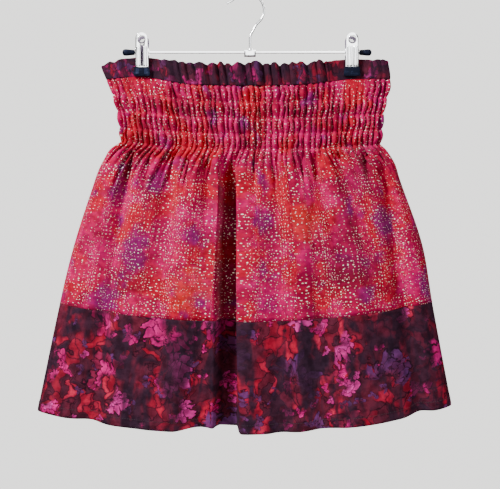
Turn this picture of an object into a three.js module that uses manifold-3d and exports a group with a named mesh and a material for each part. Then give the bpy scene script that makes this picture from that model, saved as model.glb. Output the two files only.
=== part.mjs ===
// A gathered batik skirt, hanging by its waist from a clip hanger.
//
// Millimetres, +Z up, +X to the right of someone facing the front of the skirt, -Y towards them.
// The origin is the inside top of the hanger's hook, where it rests on a rail.
//
// The skirt is a tube of cloth made of six pieces: for the front and for the back, a frill that stands
// above the waist, a body cut as a rectangle and shirred on four rows of elastic, and a deep hem band.
// Each piece is a thin closed wall through rings. A ring is a flattened oval worked out from the
// SECTIONS table, pushed in and out by the folds, the frill's waves or the gathers.
import * as THREE from "three";
import { mergeVertices } from "three/addons/utils/BufferGeometryUtils.js";
import Module from "manifold-3d";

const wasm = await Module();
wasm.setup();

// ---- Cloth: driving sizes ----

const CLOTH = 1.2; // wall of the cloth
const SEAM = 0.3; // gap between two pieces at a seam
const GATHERS = 50; // shirred gathers across one body panel
const GATHER_HEIGHT = 2.1; // a full gather, midway between two rows of elastic
const GATHER_AT_ROW = 0.9; // a gather where the elastic holds it down
const GATHER_FREED = 1.45; // what is left of a gather at FREED_Z, as it fans out below the last row
const FREED_Z = -213.5;
const PUFF = 0.8; // how far the cloth swells between two rows of elastic
const FRILL_WAVES = 32; // waves across one frill
const FRILL_WAVE_TOP = 2.3; // height of a wave above and below its middle, at the free edge
const FRILL_WAVE_SEAM = 1.1; // the same at the seam
const FRILL_SCALLOP = 1.7; // how much a wave lifts the free edge
const FRILL_STRAY = 0.55; // how far a wave may start from its even place, as a share of a wave
const GATHER_STRAY = 0.4; // the same for a gather
const SKIRT_COLUMNS = 48; // steps across a panel below the shirring
const LINING_COLUMNS = 32; // steps across the plain inside of the shirring

// Rings of the tube. z is taken on the centre front. left and right are the outline seen from the front,
// front and back are how far the cloth stands from the middle plane, and the rises say how much higher
// the cloth hangs at its sides. square is the oval's power: 2 is an ellipse, 4 a flat tube with tight sides.
const SECTION_COLUMNS = ["at", "z", "left", "right", "front", "back", "riseLeft", "riseRight", "square"];
const SECTIONS = [
  ["frill top", -91, -189.5, 183.5, 8, 8, 1, 3, 4],
  ["frill seam", -119.5, -183, 186.5, 8, 8, 6.5, 8, 4],
  ["elastic 1", -140, -175, 182.5, 8.5, 8.5, 7, 5, 4],
  ["elastic 2", -161, -169, 178, 9, 8.5, 8.5, 6, 4],
  ["elastic 3", -181.5, -166, 176, 9, 8.5, 9, 6.5, 3.8],
  ["elastic 4", -201.5, -165, 174, 9.5, 9, 10.5, 7, 3.6],
  ["puff", -216, -178.5, 180.5, 14, 11, 12.5, 11.5, 3.2],
  ["high hip", -236, -190, 191.5, 20, 13, 14, 14, 3],
  ["hip", -261.5, -199, 200.5, 25, 15, 15.5, 15.5, 2.9],
  ["thigh", -344.5, -224.5, 227.5, 33, 19, 19, 20, 2.7],
  ["band seam", -423, -243, 240.5, 37, 22, 22, 24, 2.6],
  ["hem", -564.5, -272, 265.5, 42, 26, 25, 32, 2.5],
].map((row) => Object.fromEntries(row.map((value, i) => [SECTION_COLUMNS[i], value])));
const levelOf = (name) => SECTIONS.find((section) => section.at === name).z;
const FRILL_TOP = levelOf("frill top");
const FRILL_SEAM = levelOf("frill seam");
const LAST_ELASTIC = levelOf("elastic 4");
const BAND_SEAM = levelOf("band seam");
const HEM = levelOf("hem");
const ELASTICS = ["elastic 1", "elastic 2", "elastic 3", "elastic 4"].map(levelOf);

// Folds of the skirt, from the last row of elastic to the hem. x is where the fold runs, depth how far it
// stands out (a valley is negative), and widths are the half-widths to its left and right. steep is the
// power of its profile: 2 is a soft bell, 4 a channel with steep sides.
const FRONT_FOLDS = [
  { x: [-150, -199], depth: [-5, -9], leftWidth: [9, 20], rightWidth: [8, 15], steep: 2 },
  { x: [-112, -106], depth: [-4, -1], leftWidth: [8, 14], rightWidth: [8, 14], steep: 2 },
  { x: [-78, -96], depth: [3, 6], leftWidth: [15, 34], rightWidth: [15, 30], steep: 2 },
  { x: [-40, -60], depth: [-1, -19], leftWidth: [10, 30], rightWidth: [10, 25], steep: 2 },
  { x: [-25, -25], depth: [-27, -17], leftWidth: [8, 15], rightWidth: [7, 13], steep: 4 },
  { x: [6, 4], depth: [3, 4], leftWidth: [9, 18], rightWidth: [10, 22], steep: 2 },
  { x: [36, 44], depth: [-4, -4], leftWidth: [8, 16], rightWidth: [8, 16], steep: 2 },
  { x: [76, 96], depth: [-7, -6], leftWidth: [6, 18], rightWidth: [14, 26], steep: 2 },
  { x: [120, 158], depth: [3, 5], leftWidth: [14, 30], rightWidth: [10, 22], steep: 2 },
  { x: [150, 222], depth: [-8, -11], leftWidth: [6, 15], rightWidth: [8, 15], steep: 2 },
];
const BACK_FOLDS = [
  { x: [-142, -184], depth: [-4, -7], leftWidth: [9, 18], rightWidth: [8, 16], steep: 2 },
  { x: [-88, -110], depth: [-4, -8], leftWidth: [9, 20], rightWidth: [8, 18], steep: 2 },
  { x: [-36, -34], depth: [-3, -6], leftWidth: [8, 20], rightWidth: [8, 16], steep: 2 },
  { x: [22, 34], depth: [-5, -9], leftWidth: [7, 18], rightWidth: [9, 22], steep: 2 },
  { x: [80, 108], depth: [-3, -6], leftWidth: [8, 16], rightWidth: [8, 18], steep: 2 },
  { x: [138, 190], depth: [-5, -8], leftWidth: [8, 18], rightWidth: [8, 16], steep: 2 },
];
const CHANNEL = [0.375, 0.5]; // stretch of the front, as a share of its width, with twice as many steps
const FOLD_LIFT = 0.3; // how much a valley draws the hem up, as a share of its depth
const FOLD_LIFT_Z = -323; // height below which it does
const FOLD_CLEAR = 0.1; // share of a panel, at each side seam, over which the folds die away

// ---- Hanger: driving sizes ----

const ROD_Z = -75.3;
const ROD_RADIUS = 1.5;
const ROD_HALF = 158; // half its length
const RUNNING = 0.3; // clearance of what sits on the rod
const WIRE_RADIUS = 1.4; // the hook's wire
const HOOK_INSIDE = 20.7; // inner radius of the hook's bend
const STEM_X = 3.9;
const CLIP_X = 136; // each clip's distance from the middle of the rod
const CLIP_TILT = THREE.MathUtils.degToRad(8); // each half leans out towards its finger tab
const JAW_Z = -106; // lower edge of the jaws
const JAW_Y = 2.3; // inner face of a jaw, at that edge
const PINCHED = 1.9; // where the outside of the cloth lies between the jaws
const PINCH_FULL = 14; // half-width over which the cloth is pinched flat
const PINCH_ENDS = 40; // distance from the clip at which it is free again
const PINCH_HELD_Z = -122; // lowest height at which it is still flat
const PINCH_FREE_Z = -150; // and the height at which it is free again
const CLIP_LIFT = [8.5, 5]; // how far the left and the right clip draw the waist up
const CLIP_LIFT_REACH = 40;

// ---- Small helpers ----

const smooth = THREE.MathUtils.smoothstep;
const mix = THREE.MathUtils.lerp;
const scatter = (n) => THREE.MathUtils.euclideanModulo(Math.sin(n * 12.9898) * 43758.5453, 1) - 0.5;

// A column of SECTIONS at any height, by a cubic whose slope at each row is that of its two neighbours.
function sectionValue(column, z) {
  const last = SECTIONS.length - 1;
  const found = SECTIONS.findIndex((section) => section.z <= z);
  const low = found < 0 ? last : Math.max(found, 1);
  const at = (i) => SECTIONS[THREE.MathUtils.clamp(i, 0, last)];
  const slope = (i) => (at(i + 1)[column] - at(i - 1)[column]) / (at(i + 1).z - at(i - 1).z);
  const [a, b] = [at(low - 1), at(low)];
  const span = b.z - a.z;
  const s = THREE.MathUtils.clamp((z - a.z) / span, 0, 1);
  return (
    a[column] * (1 + 2 * s) * (1 - s) ** 2 + b[column] * s * s * (3 - 2 * s) +
    span * (slope(low - 1) * s * (1 - s) ** 2 - slope(low) * s * s * (1 - s))
  );
}

// The swell of the cloth between the rows of elastic that lie above and below this height.
function puffAt(z) {
  const rows = [FRILL_SEAM, ...ELASTICS];
  const below = rows.findIndex((row) => row < z);
  if (below < 1) return 0;
  return PUFF * Math.sin((Math.PI * (z - rows[below])) / (rows[below - 1] - rows[below])) ** 2;
}

// ---- The tube of cloth ----

const FRONT = -1;
const BACK = 1;
const OVAL_STEPS = 240;

// Half an oval from the left side seam to the right one, sampled evenly along its length.
const ovals = new Map();
function oval(side, z) {
  const key = `${side} ${z}`;
  if (ovals.has(key)) return ovals.get(key);
  const [left, right] = [sectionValue("left", z), sectionValue("right", z)];
  const depth = sectionValue(side === FRONT ? "front" : "back", z) + puffAt(z);
  const power = 2 / sectionValue("square", z);
  const points = [];
  for (let i = 0; i <= OVAL_STEPS; i++) {
    const turn = Math.PI * (i / OVAL_STEPS - 0.5);
    const across = Math.sign(Math.sin(turn)) * Math.abs(Math.sin(turn)) ** power;
    const out = SEAM / 2 + (depth - SEAM / 2) * Math.max(Math.cos(turn), 0) ** power;
    points.push(new THREE.Vector2((left + right) / 2 + (across * (right - left)) / 2, side * out));
  }
  const lengths = [0];
  for (let i = 1; i < points.length; i++) lengths.push(lengths[i - 1] + points[i].distanceTo(points[i - 1]));
  const whole = lengths[OVAL_STEPS];
  ovals.set(key, (t) => {
    const i = THREE.MathUtils.clamp(lengths.findIndex((length) => length >= t * whole), 1, OVAL_STEPS);
    const s = (t * whole - lengths[i - 1]) / (lengths[i] - lengths[i - 1]);
    return points[i - 1].clone().lerp(points[i], s);
  });
  return ovals.get(key);
}

// How firmly the nearer clip holds the cloth at x and z: 1 between the jaws, 0 well away from them.
function pinch(x, z) {
  const away = Math.abs(Math.abs(x) - CLIP_X);
  return (1 - smooth(away, PINCH_FULL, PINCH_ENDS)) * smooth(z, PINCH_FREE_Z, PINCH_HELD_Z);
}

// How far the folds push the cloth out at x and z.
function folds(side, x, z) {
  const down = THREE.MathUtils.clamp((LAST_ELASTIC - z) / (LAST_ELASTIC - HEM), 0, 1);
  const grown = Math.sqrt(smooth(down, 0, 0.25));
  let out = 0;
  for (const fold of side === FRONT ? FRONT_FOLDS : BACK_FOLDS) {
    const away = x - mix(...fold.x, down);
    const width = mix(...(away < 0 ? fold.leftWidth : fold.rightWidth), down);
    out += grown * mix(...fold.depth, down) * Math.exp(-(Math.abs(away / width) ** fold.steep));
  }
  return out;
}

// The cloth's height at x on the ring that crosses the centre front at z.
function heightAt(x, z, fold) {
  const [left, right] = [sectionValue("left", z), sectionValue("right", z)];
  const across = (2 * x - left - right) / (right - left);
  const rise = sectionValue(across < 0 ? "riseLeft" : "riseRight", z) * across ** 2;
  const byClip = CLIP_LIFT[x < 0 ? 0 : 1] * Math.exp(-(((Math.abs(x) - CLIP_X) / CLIP_LIFT_REACH) ** 2));
  const byValley = -FOLD_LIFT * Math.min(fold, 0);
  return z + rise + byClip * smooth(z, levelOf("elastic 3"), FRILL_SEAM) + byValley * smooth(-z, -FOLD_LIFT_Z, -HEM);
}

// A point on the cloth: t runs from the left side seam (0) to the right one (1), and relief(t, z) is any
// form finer than a fold. Past a side seam the tube goes on as its own mirror image.
function draped(side, z, t, relief) {
  if (t < 0 || t > 1) {
    const mirrored = draped(side, z, t < 0 ? -t : 2 - t, relief);
    return mirrored.setY(-mirrored.y);
  }
  const base = oval(side, z)(t);
  const held = pinch(base.x, z);
  const clear = smooth(t, 0, FOLD_CLEAR) * smooth(1 - t, 0, FOLD_CLEAR);
  const fold = folds(side, base.x, z) * clear;
  const out = Math.abs(mix(base.y, side * PINCHED, held)) + fold + relief(t, z) * (1 - held) * clear;
  return new THREE.Vector3(base.x, side * Math.max(out, SEAM / 2), heightAt(base.x, z, fold));
}

// The same point moved out from the cloth, square to its ring.
const SLOPE_STEP = 0.002;
function moved(side, z, t, relief, distance) {
  const along = draped(side, z, t + SLOPE_STEP, relief).sub(draped(side, z, t - SLOPE_STEP, relief));
  const outwards = new THREE.Vector2(-side * along.y, side * along.x).normalize().multiplyScalar(distance);
  return draped(side, z, t, relief).add(new THREE.Vector3(outwards.x, outwards.y, 0));
}

// ---- From rows of points to a closed wall ----

// Each row is a list of { t, z, point }, where z names the ring. The two faces may have rows and steps of
// their own, and meet along the four edges.
function wall(outside, inside, side) {
  const points = [];
  const triangles = [];
  const number = ({ t, z, point }) => ({ t, z, index: points.push(...point) / 3 - 1 });
  const numbered = (rows) => rows.map((line) => line.map(number));
  // Triangles between two lines of points, stepping along whichever line is behind.
  const zip = (a, b, key, flip) => {
    const share = (line, i) => (line[i][key] - line[0][key]) / (line.at(-1)[key] - line[0][key]);
    for (let i = 0, j = 0; i < a.length - 1 || j < b.length - 1; ) {
      const stepB = i === a.length - 1 || (j < b.length - 1 && share(b, j + 1) <= share(a, i + 1));
      const third = stepB ? b[++j] : a[i + 1];
      const triangle = [a[i], stepB ? b[j - 1] : b[j], third];
      if (!stepB) i++;
      triangles.push(...(flip ? triangle.reverse() : triangle).map((corner) => corner.index));
    }
  };
  const outer = numbered(outside);
  const inner = numbered(inside);
  const back = side === BACK;
  for (let r = 1; r < outer.length; r++) zip(outer[r - 1], outer[r], "t", back);
  for (let r = 1; r < inner.length; r++) zip(inner[r - 1], inner[r], "t", !back);
  zip(inner[0], outer[0], "t", back);
  zip(outer.at(-1), inner.at(-1), "t", back);
  zip(outer.map((line) => line[0]), inner.map((line) => line[0]), "z", back);
  zip(inner.map((line) => line.at(-1)), outer.map((line) => line.at(-1)), "z", back);
  return new THREE.BufferGeometry()
    .setAttribute("position", new THREE.Float32BufferAttribute(points, 3))
    .setIndex(triangles);
}

const evenly = (steps) => Array.from({ length: steps + 1 }, (_, i) => i / steps);
const levels = (from, to, steps) => evenly(steps).map((share) => mix(from, to, share));
const plain = () => 0;

// Steps across a panel below the shirring, closer together where the front has its deep channel.
const skirtSteps = (side) => {
  const inChannel = (t) => side === FRONT && t > CHANNEL[0] && t < CHANNEL[1];
  return evenly(2 * SKIRT_COLUMNS).filter((t, i) => i % 2 === 0 || inChannel(t));
};

// One row of points on a ring, at each t, moved out by out(t).
const row = (side, z, ts, relief, out) =>
  ts.map((t, i) => ({ t, z, point: moved(side, z, t, relief, out(t, i)) }));

// ---- The sewn pieces ----

// Where each of count waves or gathers starts, as a share of the panel, and where the last one ends.
const unevenly = (count, stray, seed) =>
  Array.from({ length: count + 1 }, (_, k) => (k + (k > 0 && k < count ? stray * scatter(k + seed) : 0)) / count);

// The frill waves in and out as a whole. A wide wave is taller, and all are fullest at the free edge.
const WAVE_STARTS = unevenly(FRILL_WAVES, FRILL_STRAY, 200);
function frillWave(t, z) {
  const k = THREE.MathUtils.clamp(WAVE_STARTS.findLastIndex((start) => start <= t), 0, FRILL_WAVES - 1);
  const width = WAVE_STARTS[k + 1] - WAVE_STARTS[k];
  const height = mix(FRILL_WAVE_SEAM, FRILL_WAVE_TOP, (z - FRILL_SEAM) / (FRILL_TOP - FRILL_SEAM));
  return height * width * FRILL_WAVES * Math.sin((2 * Math.PI * (t - WAVE_STARTS[k])) / width);
}

function frill(side) {
  const STEPS_PER_WAVE = 4;
  const ts = evenly(FRILL_WAVES * STEPS_PER_WAVE).map((share, i) => {
    const k = Math.min(Math.floor(i / STEPS_PER_WAVE), FRILL_WAVES - 1);
    return mix(WAVE_STARTS[k], WAVE_STARTS[k + 1], share * FRILL_WAVES - k);
  });
  const zs = levels(FRILL_TOP, FRILL_SEAM + SEAM / 2, 2);
  const face = (out) =>
    zs.map((z) => {
      const points = row(side, z, ts, frillWave, () => out);
      for (const { t, point } of points) {
        const held = pinch(point.x, z);
        const free = smooth(z, FRILL_SEAM, FRILL_TOP);
        point.z += (FRILL_SCALLOP / FRILL_WAVE_TOP) * frillWave(t, z) * free * (1 - held);
      }
      return points;
    });
  return wall(face(0), face(-CLOTH), side);
}

// Columns across the gathers: each has a valley and two shoulders, and no two are quite alike.
const GATHER_COLUMNS = [];
const VALLEYS = unevenly(GATHERS, GATHER_STRAY, 0);
for (let k = 0; k < GATHERS; k++) {
  const height = 1 + 0.35 * scatter(k + 100);
  GATHER_COLUMNS.push({ t: VALLEYS[k], height: 0 });
  GATHER_COLUMNS.push({ t: mix(VALLEYS[k], VALLEYS[k + 1], 0.3), height });
  GATHER_COLUMNS.push({ t: mix(VALLEYS[k], VALLEYS[k + 1], 0.7), height: height * 0.95 });
}
GATHER_COLUMNS.push({ t: 1, height: 0 });

const gatheredRows = (side, rows) =>
  rows.map(({ z, height }) => {
    const ts = GATHER_COLUMNS.map((column) => column.t);
    return row(side, z, ts, plain, (t, i) => {
      const x = draped(side, z, t, plain).x;
      return GATHER_COLUMNS[i].height * height * (1 - pinch(x, z));
    });
  });

const plainInside = (side, zs) => zs.map((z) => row(side, z, evenly(LINING_COLUMNS), plain, () => -CLOTH));

// A body panel is one piece of cloth. It is made in two, parted at the last row of elastic: this is the
// shirred part above it.
function shirring(side) {
  const held = [FRILL_SEAM - SEAM / 2, ...ELASTICS.slice(0, -1), LAST_ELASTIC + SEAM / 2];
  const rows = held.slice(1).flatMap((z, i) => [
    { z: (held[i] + z) / 2, height: GATHER_HEIGHT },
    { z, height: GATHER_AT_ROW },
  ]);
  const outside = gatheredRows(side, [{ z: held[0], height: GATHER_AT_ROW }, ...rows]);
  return wall(outside, plainInside(side, [held[0], held[2], held.at(-1)]), side);
}

// And this is the rest of the panel: the gathers fan out, and the cloth falls in folds to the band.
function body(side) {
  const top = LAST_ELASTIC - SEAM / 2;
  const fan = gatheredRows(side, [{ z: top, height: GATHER_AT_ROW }, { z: FREED_Z, height: GATHER_FREED }]);
  const skirtLevels = levels(levelOf("high hip"), BAND_SEAM + SEAM / 2, 4);
  const skirt = (out) => skirtLevels.map((z) => row(side, z, skirtSteps(side), plain, () => out));
  return wall([...fan, ...skirt(0)], [...plainInside(side, [top, FREED_Z]), ...skirt(-CLOTH)], side);
}

function hemBand(side) {
  const zs = levels(BAND_SEAM - SEAM / 2, HEM, 3);
  const face = (out) => zs.map((z) => row(side, z, skirtSteps(side), plain, () => out));
  return wall(face(0), face(-CLOTH), side);
}

// ---- The hanger ----

const solidOf = (geometry) => {
  const flat = new THREE.BufferGeometry()
    .setAttribute("position", geometry.getAttribute("position"))
    .setIndex(geometry.index);
  const merged = mergeVertices(flat, 1e-4);
  const vertProperties = merged.attributes.position.array;
  const triVerts = new Uint32Array(merged.index.array);
  return new wasm.Manifold(new wasm.Mesh({ numProp: 3, vertProperties, triVerts }));
};

const geometryOf = (solid) => {
  const { vertProperties, triVerts } = solid.getMesh();
  return new THREE.BufferGeometry()
    .setAttribute("position", new THREE.BufferAttribute(vertProperties, 3))
    .setIndex(new THREE.BufferAttribute(triVerts, 1));
};

// A shape drawn in X and Z, given its thickness in Y: from y towards -Y.
const sheetInXZ = (shape, y, thickness, curveSegments) =>
  new THREE.ExtrudeGeometry(shape, { depth: thickness, bevelEnabled: false, curveSegments })
    .rotateX(Math.PI / 2)
    .translate(0, y, 0);

// A solid of revolution about X: the profile's x is along the rod and y its radius.
const ROUND = 12; // sides of a round piece
function turnedOnRod(profile) {
  const points = profile.map(([along, radius]) => new THREE.Vector2(radius, along));
  return new THREE.LatheGeometry(points, ROUND).rotateZ(-Math.PI / 2);
}

const barOnX = (radius, length) =>
  new THREE.CylinderGeometry(radius, radius, length, ROUND).rotateZ(Math.PI / 2).translate(0, 0, ROD_Z);

// A soft cap pushed over each end of the rod, fattest towards its rounded end.
function rodCap(end) {
  const NECK = 3.1;
  const HEAD = 4.4;
  const MOUTH = -12; // the mouth and the end, from the end of the rod
  const BORE = ROD_RADIUS + RUNNING;
  const outside = [[MOUTH, NECK], [-6, HEAD * 0.88], [-1, HEAD], [1.6, HEAD * 0.92], [3.4, HEAD * 0.6], [4, 0]];
  const hollow = [[RUNNING, 0], [RUNNING, BORE], [MOUTH, BORE]];
  const cap = turnedOnRod([...hollow, ...outside, hollow[0]]);
  if (end < 0) cap.rotateZ(Math.PI);
  return cap.translate(end * ROD_HALF, 0, ROD_Z);
}

// The hook is one wire: stem, a slanting run, three quarters of a circle and a flared tip.
function hook() {
  const bend = HOOK_INSIDE + WIRE_RADIUS;
  const onBend = (degrees) => {
    const turn = THREE.MathUtils.degToRad(degrees);
    return [bend * Math.cos(turn), bend * Math.sin(turn) - HOOK_INSIDE];
  };
  const FOOT_Z = ROD_Z + 5.6;
  const stem = [[STEM_X, FOOT_Z], [STEM_X, -62], [STEM_X + 0.4, -54], [STEM_X + 3.6, -47.5]];
  const route = [...stem, [12, -39.5], [18.6, -32]];
  for (let degrees = -8; degrees <= 132; degrees += 14) route.push(onBend(degrees));
  const [tipX, tipZ] = onBend(132);
  route.push([tipX - 6, tipZ - 4.4], [tipX - 12, tipZ - 7.6]);
  const STEPS = 36;
  const SIDES = 5; // to each half turn
  const section = new THREE.Shape();
  section.absarc(0, 0, WIRE_RADIUS, 0, 2 * Math.PI);
  const points = route.map(([x, z]) => new THREE.Vector3(x, 0, z));
  const extrudePath = new THREE.CatmullRomCurve3(points, false, "centripetal");
  return new THREE.ExtrudeGeometry(section, { extrudePath, steps: STEPS, curveSegments: SIDES, bevelEnabled: false });
}

// A folded steel saddle round the middle of the rod. The hook's stem stands on its top.
function saddle() {
  const LENGTH = 15;
  const SHEET = 1.3;
  const DROP = 3; // straight part of its sides, below the rod
  const [BOSS_TOP, BOSS_FOOT, BOSS_TALL, BOSS_STANDS] = [2.6, 3.2, 3, 2.2];
  const bore = ROD_RADIUS + RUNNING;
  const outline = new THREE.Shape();
  outline.absarc(0, 0, bore + SHEET, 0, Math.PI);
  outline.lineTo(-bore - SHEET, -DROP);
  outline.absarc(0, -DROP, bore + SHEET, Math.PI, 2 * Math.PI);
  outline.closePath();
  const slot = new THREE.Path();
  slot.absarc(0, 0, bore, 0, Math.PI);
  slot.lineTo(-bore, -DROP);
  slot.absarc(0, -DROP, bore, Math.PI, 2 * Math.PI);
  outline.holes.push(slot);
  const ring = new THREE.ExtrudeGeometry(outline, { depth: LENGTH, bevelEnabled: false, curveSegments: 5 })
    .translate(0, 0, -LENGTH / 2)
    .rotateX(Math.PI / 2)
    .rotateZ(Math.PI / 2);
  const boss = new THREE.CylinderGeometry(BOSS_TOP, BOSS_FOOT, BOSS_TALL, ROUND);
  boss.rotateX(Math.PI / 2).translate(0, 0, bore + SHEET + BOSS_STANDS - BOSS_TALL / 2);
  return geometryOf(solidOf(ring).add(solidOf(boss))).translate(STEM_X, 0, ROD_Z);
}

const PLATE = 1; // sheet of a clip half
const PLATE_HALF = 8.5; // half its width
const PLATE_FOOT = 4; // its foot above the jaw's lower edge, inside the boot
const PLATE_IN = 1.6; // depth of the plate inside the jaw's boot
const BOOT_TALL = 11.5;

// Places a piece drawn with the jaw's lower inner edge at its origin: tilted, then moved to its clip.
const onClip = (geometry, side, clipX) =>
  geometry.rotateX(side * -CLIP_TILT).translate(clipX, side * JAW_Y, JAW_Z);

// One half of a clip: a plate with a round finger tab and two ears, one at each side, that ride on the rod.
// Each clip has one half that is slotted from the hole in its tab down to its boot.
function clipPlate(side, clipX, slotted) {
  const TAB_RADIUS = 7.8;
  const TAB_Z = 47.5;
  const outline = new THREE.Shape();
  outline.moveTo(-PLATE_HALF, PLATE_FOOT);
  outline.lineTo(PLATE_HALF, PLATE_FOOT);
  outline.lineTo(PLATE_HALF - 0.7, TAB_Z - 7);
  outline.absarc(0, TAB_Z, TAB_RADIUS, 0, Math.PI);
  outline.lineTo(-PLATE_HALF + 0.7, TAB_Z - 7);
  outline.closePath();
  const HOLE_RADIUS = 4.5;
  const hole = new THREE.Path();
  if (slotted) {
    const SLOT_HALF = 0.9;
    const NECK_Z = TAB_Z - 11; // where the hole has narrowed to the slot
    const SHOULDER = THREE.MathUtils.degToRad(-25);
    hole.moveTo(-SLOT_HALF, NECK_Z);
    hole.lineTo(-SLOT_HALF, BOOT_TALL + 1);
    hole.lineTo(SLOT_HALF, BOOT_TALL + 1);
    hole.lineTo(SLOT_HALF, NECK_Z);
    hole.absarc(0, TAB_Z - 0.5, HOLE_RADIUS, SHOULDER, Math.PI - SHOULDER);
    hole.closePath();
  } else {
    hole.absarc(0, TAB_Z - 0.5, HOLE_RADIUS, 0, 2 * Math.PI);
  }
  outline.holes.push(hole);
  const y = side === FRONT ? -PLATE_IN : PLATE_IN + PLATE;
  const plate = onClip(sheetInXZ(outline, y, PLATE, 8), side, clipX);
  const EAR_RADIUS = 4;
  const EAR_REACH = 8.6; // from the rod to the plate's middle
  const inset = side === FRONT ? 0 : PLATE + RUNNING; // the back half's ears lie inside the front half's
  let solid = solidOf(plate);
  for (const end of [-1, 1]) {
    const ear = new THREE.Shape();
    ear.absarc(0, 0, EAR_RADIUS, -Math.PI / 2, Math.PI / 2);
    ear.lineTo(-EAR_REACH, EAR_RADIUS);
    ear.lineTo(-EAR_REACH, -EAR_RADIUS);
    ear.closePath();
    const flat = new THREE.ExtrudeGeometry(ear, { depth: PLATE, bevelEnabled: false, curveSegments: 5 });
    // Drawn with the plate towards -X, then stood up and turned so that it is on this half's own side.
    flat.rotateX(Math.PI / 2).rotateZ((-side * Math.PI) / 2);
    const from = end * (PLATE_HALF - PLATE - inset) - (end < 0 ? PLATE : 0);
    flat.computeBoundingBox();
    flat.translate(clipX + from - flat.boundingBox.min.x, 0, ROD_Z);
    solid = solid.add(solidOf(flat));
  }
  const bore = barOnX(ROD_RADIUS + RUNNING, 4 * PLATE_HALF).translate(clipX, 0, 0);
  return geometryOf(solid.subtract(solidOf(bore)));
}

// The rubber boot over the foot of a plate, wider at the jaw.
function clipBoot(side, clipX) {
  const TOP_HALF = 9.6;
  const JAW_HALF = 11;
  const THICK = 4.2;
  const outline = new THREE.Shape();
  outline.moveTo(-JAW_HALF, 0);
  outline.lineTo(JAW_HALF, 0);
  outline.lineTo(TOP_HALF, BOOT_TALL);
  outline.lineTo(-TOP_HALF, BOOT_TALL);
  outline.closePath();
  const boot = solidOf(sheetInXZ(outline, side === FRONT ? 0 : THICK, THICK, 1));
  const room = new THREE.BoxGeometry(2 * (PLATE_HALF + RUNNING), PLATE + 2 * RUNNING, BOOT_TALL);
  room.translate(0, side * (PLATE_IN + PLATE / 2), PLATE_FOOT - RUNNING + BOOT_TALL / 2);
  return onClip(geometryOf(boot.subtract(solidOf(room))), side, clipX);
}

// The clip's coil spring on the rod, close-wound between the ears.
function clipSpring(clipX) {
  const TURNS = 5;
  const PITCH = 2;
  const inner = ROD_RADIUS + RUNNING;
  const profile = [[-(TURNS * PITCH) / 2, inner]];
  for (let turn = 0; turn < TURNS; turn++) {
    const start = (turn - TURNS / 2) * PITCH;
    profile.push([start + 0.1, inner + 0.8], [start + PITCH / 2, inner + 1.6]);
  }
  profile.push([(TURNS * PITCH) / 2, inner + 0.8], [(TURNS * PITCH) / 2, inner], [-(TURNS * PITCH) / 2, inner]);
  return turnedOnRod(profile).translate(clipX, 0, ROD_Z);
}

// ---- Assembly ----

const finish = (color, roughness, metalness) => new THREE.MeshStandardMaterial({ color, roughness, metalness });
const FLORAL = finish(0x3a1226, 0.8, 0);
const SPECKLED = finish(0xc42748, 0.75, 0);
const STEEL = finish(0xd6d8dc, 0.2, 1);
const RUBBER = finish(0x1b1d26, 0.55, 0);

const skirt = new THREE.Group();
const add = (name, geometry, material) => {
  const mesh = new THREE.Mesh(geometry, material);
  mesh.name = name;
  skirt.add(mesh);
};

for (const [word, side] of [["front", FRONT], ["back", BACK]]) {
  add(`frill_${word}`, frill(side), FLORAL);
  add(`shirring_${word}`, shirring(side), SPECKLED);
  add(`body_${word}`, body(side), SPECKLED);
  add(`hem_band_${word}`, hemBand(side), FLORAL);
}
add("hanger_rod", barOnX(ROD_RADIUS, 2 * ROD_HALF), STEEL);
add("hanger_hook", hook(), STEEL);
add("hanger_saddle", saddle(), STEEL);
for (const [word, end] of [["left", -1], ["right", 1]]) {
  add(`rod_cap_${word}`, rodCap(end), RUBBER);
  add(`clip_spring_${word}`, clipSpring(end * CLIP_X), STEEL);
  for (const [half, side] of [["front", FRONT], ["back", BACK]]) {
    const slotted = end === side; // on the left clip's front half and the right clip's back half
    add(`clip_plate_${word}_${half}`, clipPlate(side, end * CLIP_X, slotted), STEEL);
    add(`clip_boot_${word}_${half}`, clipBoot(side, end * CLIP_X), RUBBER);
  }
}

export default skirt;
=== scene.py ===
# %% [markdown]
# # A gathered batik skirt on a clip hanger
#
# The skirt is a tube of cloth. We describe the tube once, as a function of a height and a share of the
# way round, and sample that function on a grid for each sewn piece. NumPy works on whole grids at a time,
# so no loop visits single vertices. The dyes and prints are node groups that work in the flat cloth's own
# coordinates, so that they follow the folds.
#
# The work frame is in metres with +Z up. The front of the skirt faces -Y.

# %% Frame and units
import math

import bmesh
import bpy
import numpy as np
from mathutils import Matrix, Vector


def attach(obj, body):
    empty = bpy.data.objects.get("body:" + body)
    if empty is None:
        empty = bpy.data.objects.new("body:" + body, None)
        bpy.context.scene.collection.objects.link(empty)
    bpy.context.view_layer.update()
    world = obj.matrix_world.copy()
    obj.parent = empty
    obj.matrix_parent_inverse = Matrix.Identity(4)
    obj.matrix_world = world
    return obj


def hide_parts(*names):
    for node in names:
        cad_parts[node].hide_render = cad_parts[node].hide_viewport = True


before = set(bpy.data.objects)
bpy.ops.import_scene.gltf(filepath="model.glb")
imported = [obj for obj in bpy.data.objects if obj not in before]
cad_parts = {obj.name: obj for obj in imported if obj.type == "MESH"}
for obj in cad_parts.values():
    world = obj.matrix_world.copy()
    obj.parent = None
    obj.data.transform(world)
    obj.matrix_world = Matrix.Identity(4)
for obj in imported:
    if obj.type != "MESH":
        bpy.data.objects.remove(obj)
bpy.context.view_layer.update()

MM = 0.001
FRONT, BACK = -1, 1
SIDES = (("front", FRONT), ("back", BACK))

# %% [markdown]
# ## Camera
#
# The skirt hangs level in front of us. The camera could be placed by eye and turned until it fits, but then
# any change of distance changes the scale too. So the lens is worked out from what it has to take in:
# `VIEW_WIDTH` across the plane of the hanger, seen from `DISTANCE` away. For a sensor of width `s`, the
# focal length is `s * distance / width`.

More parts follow.
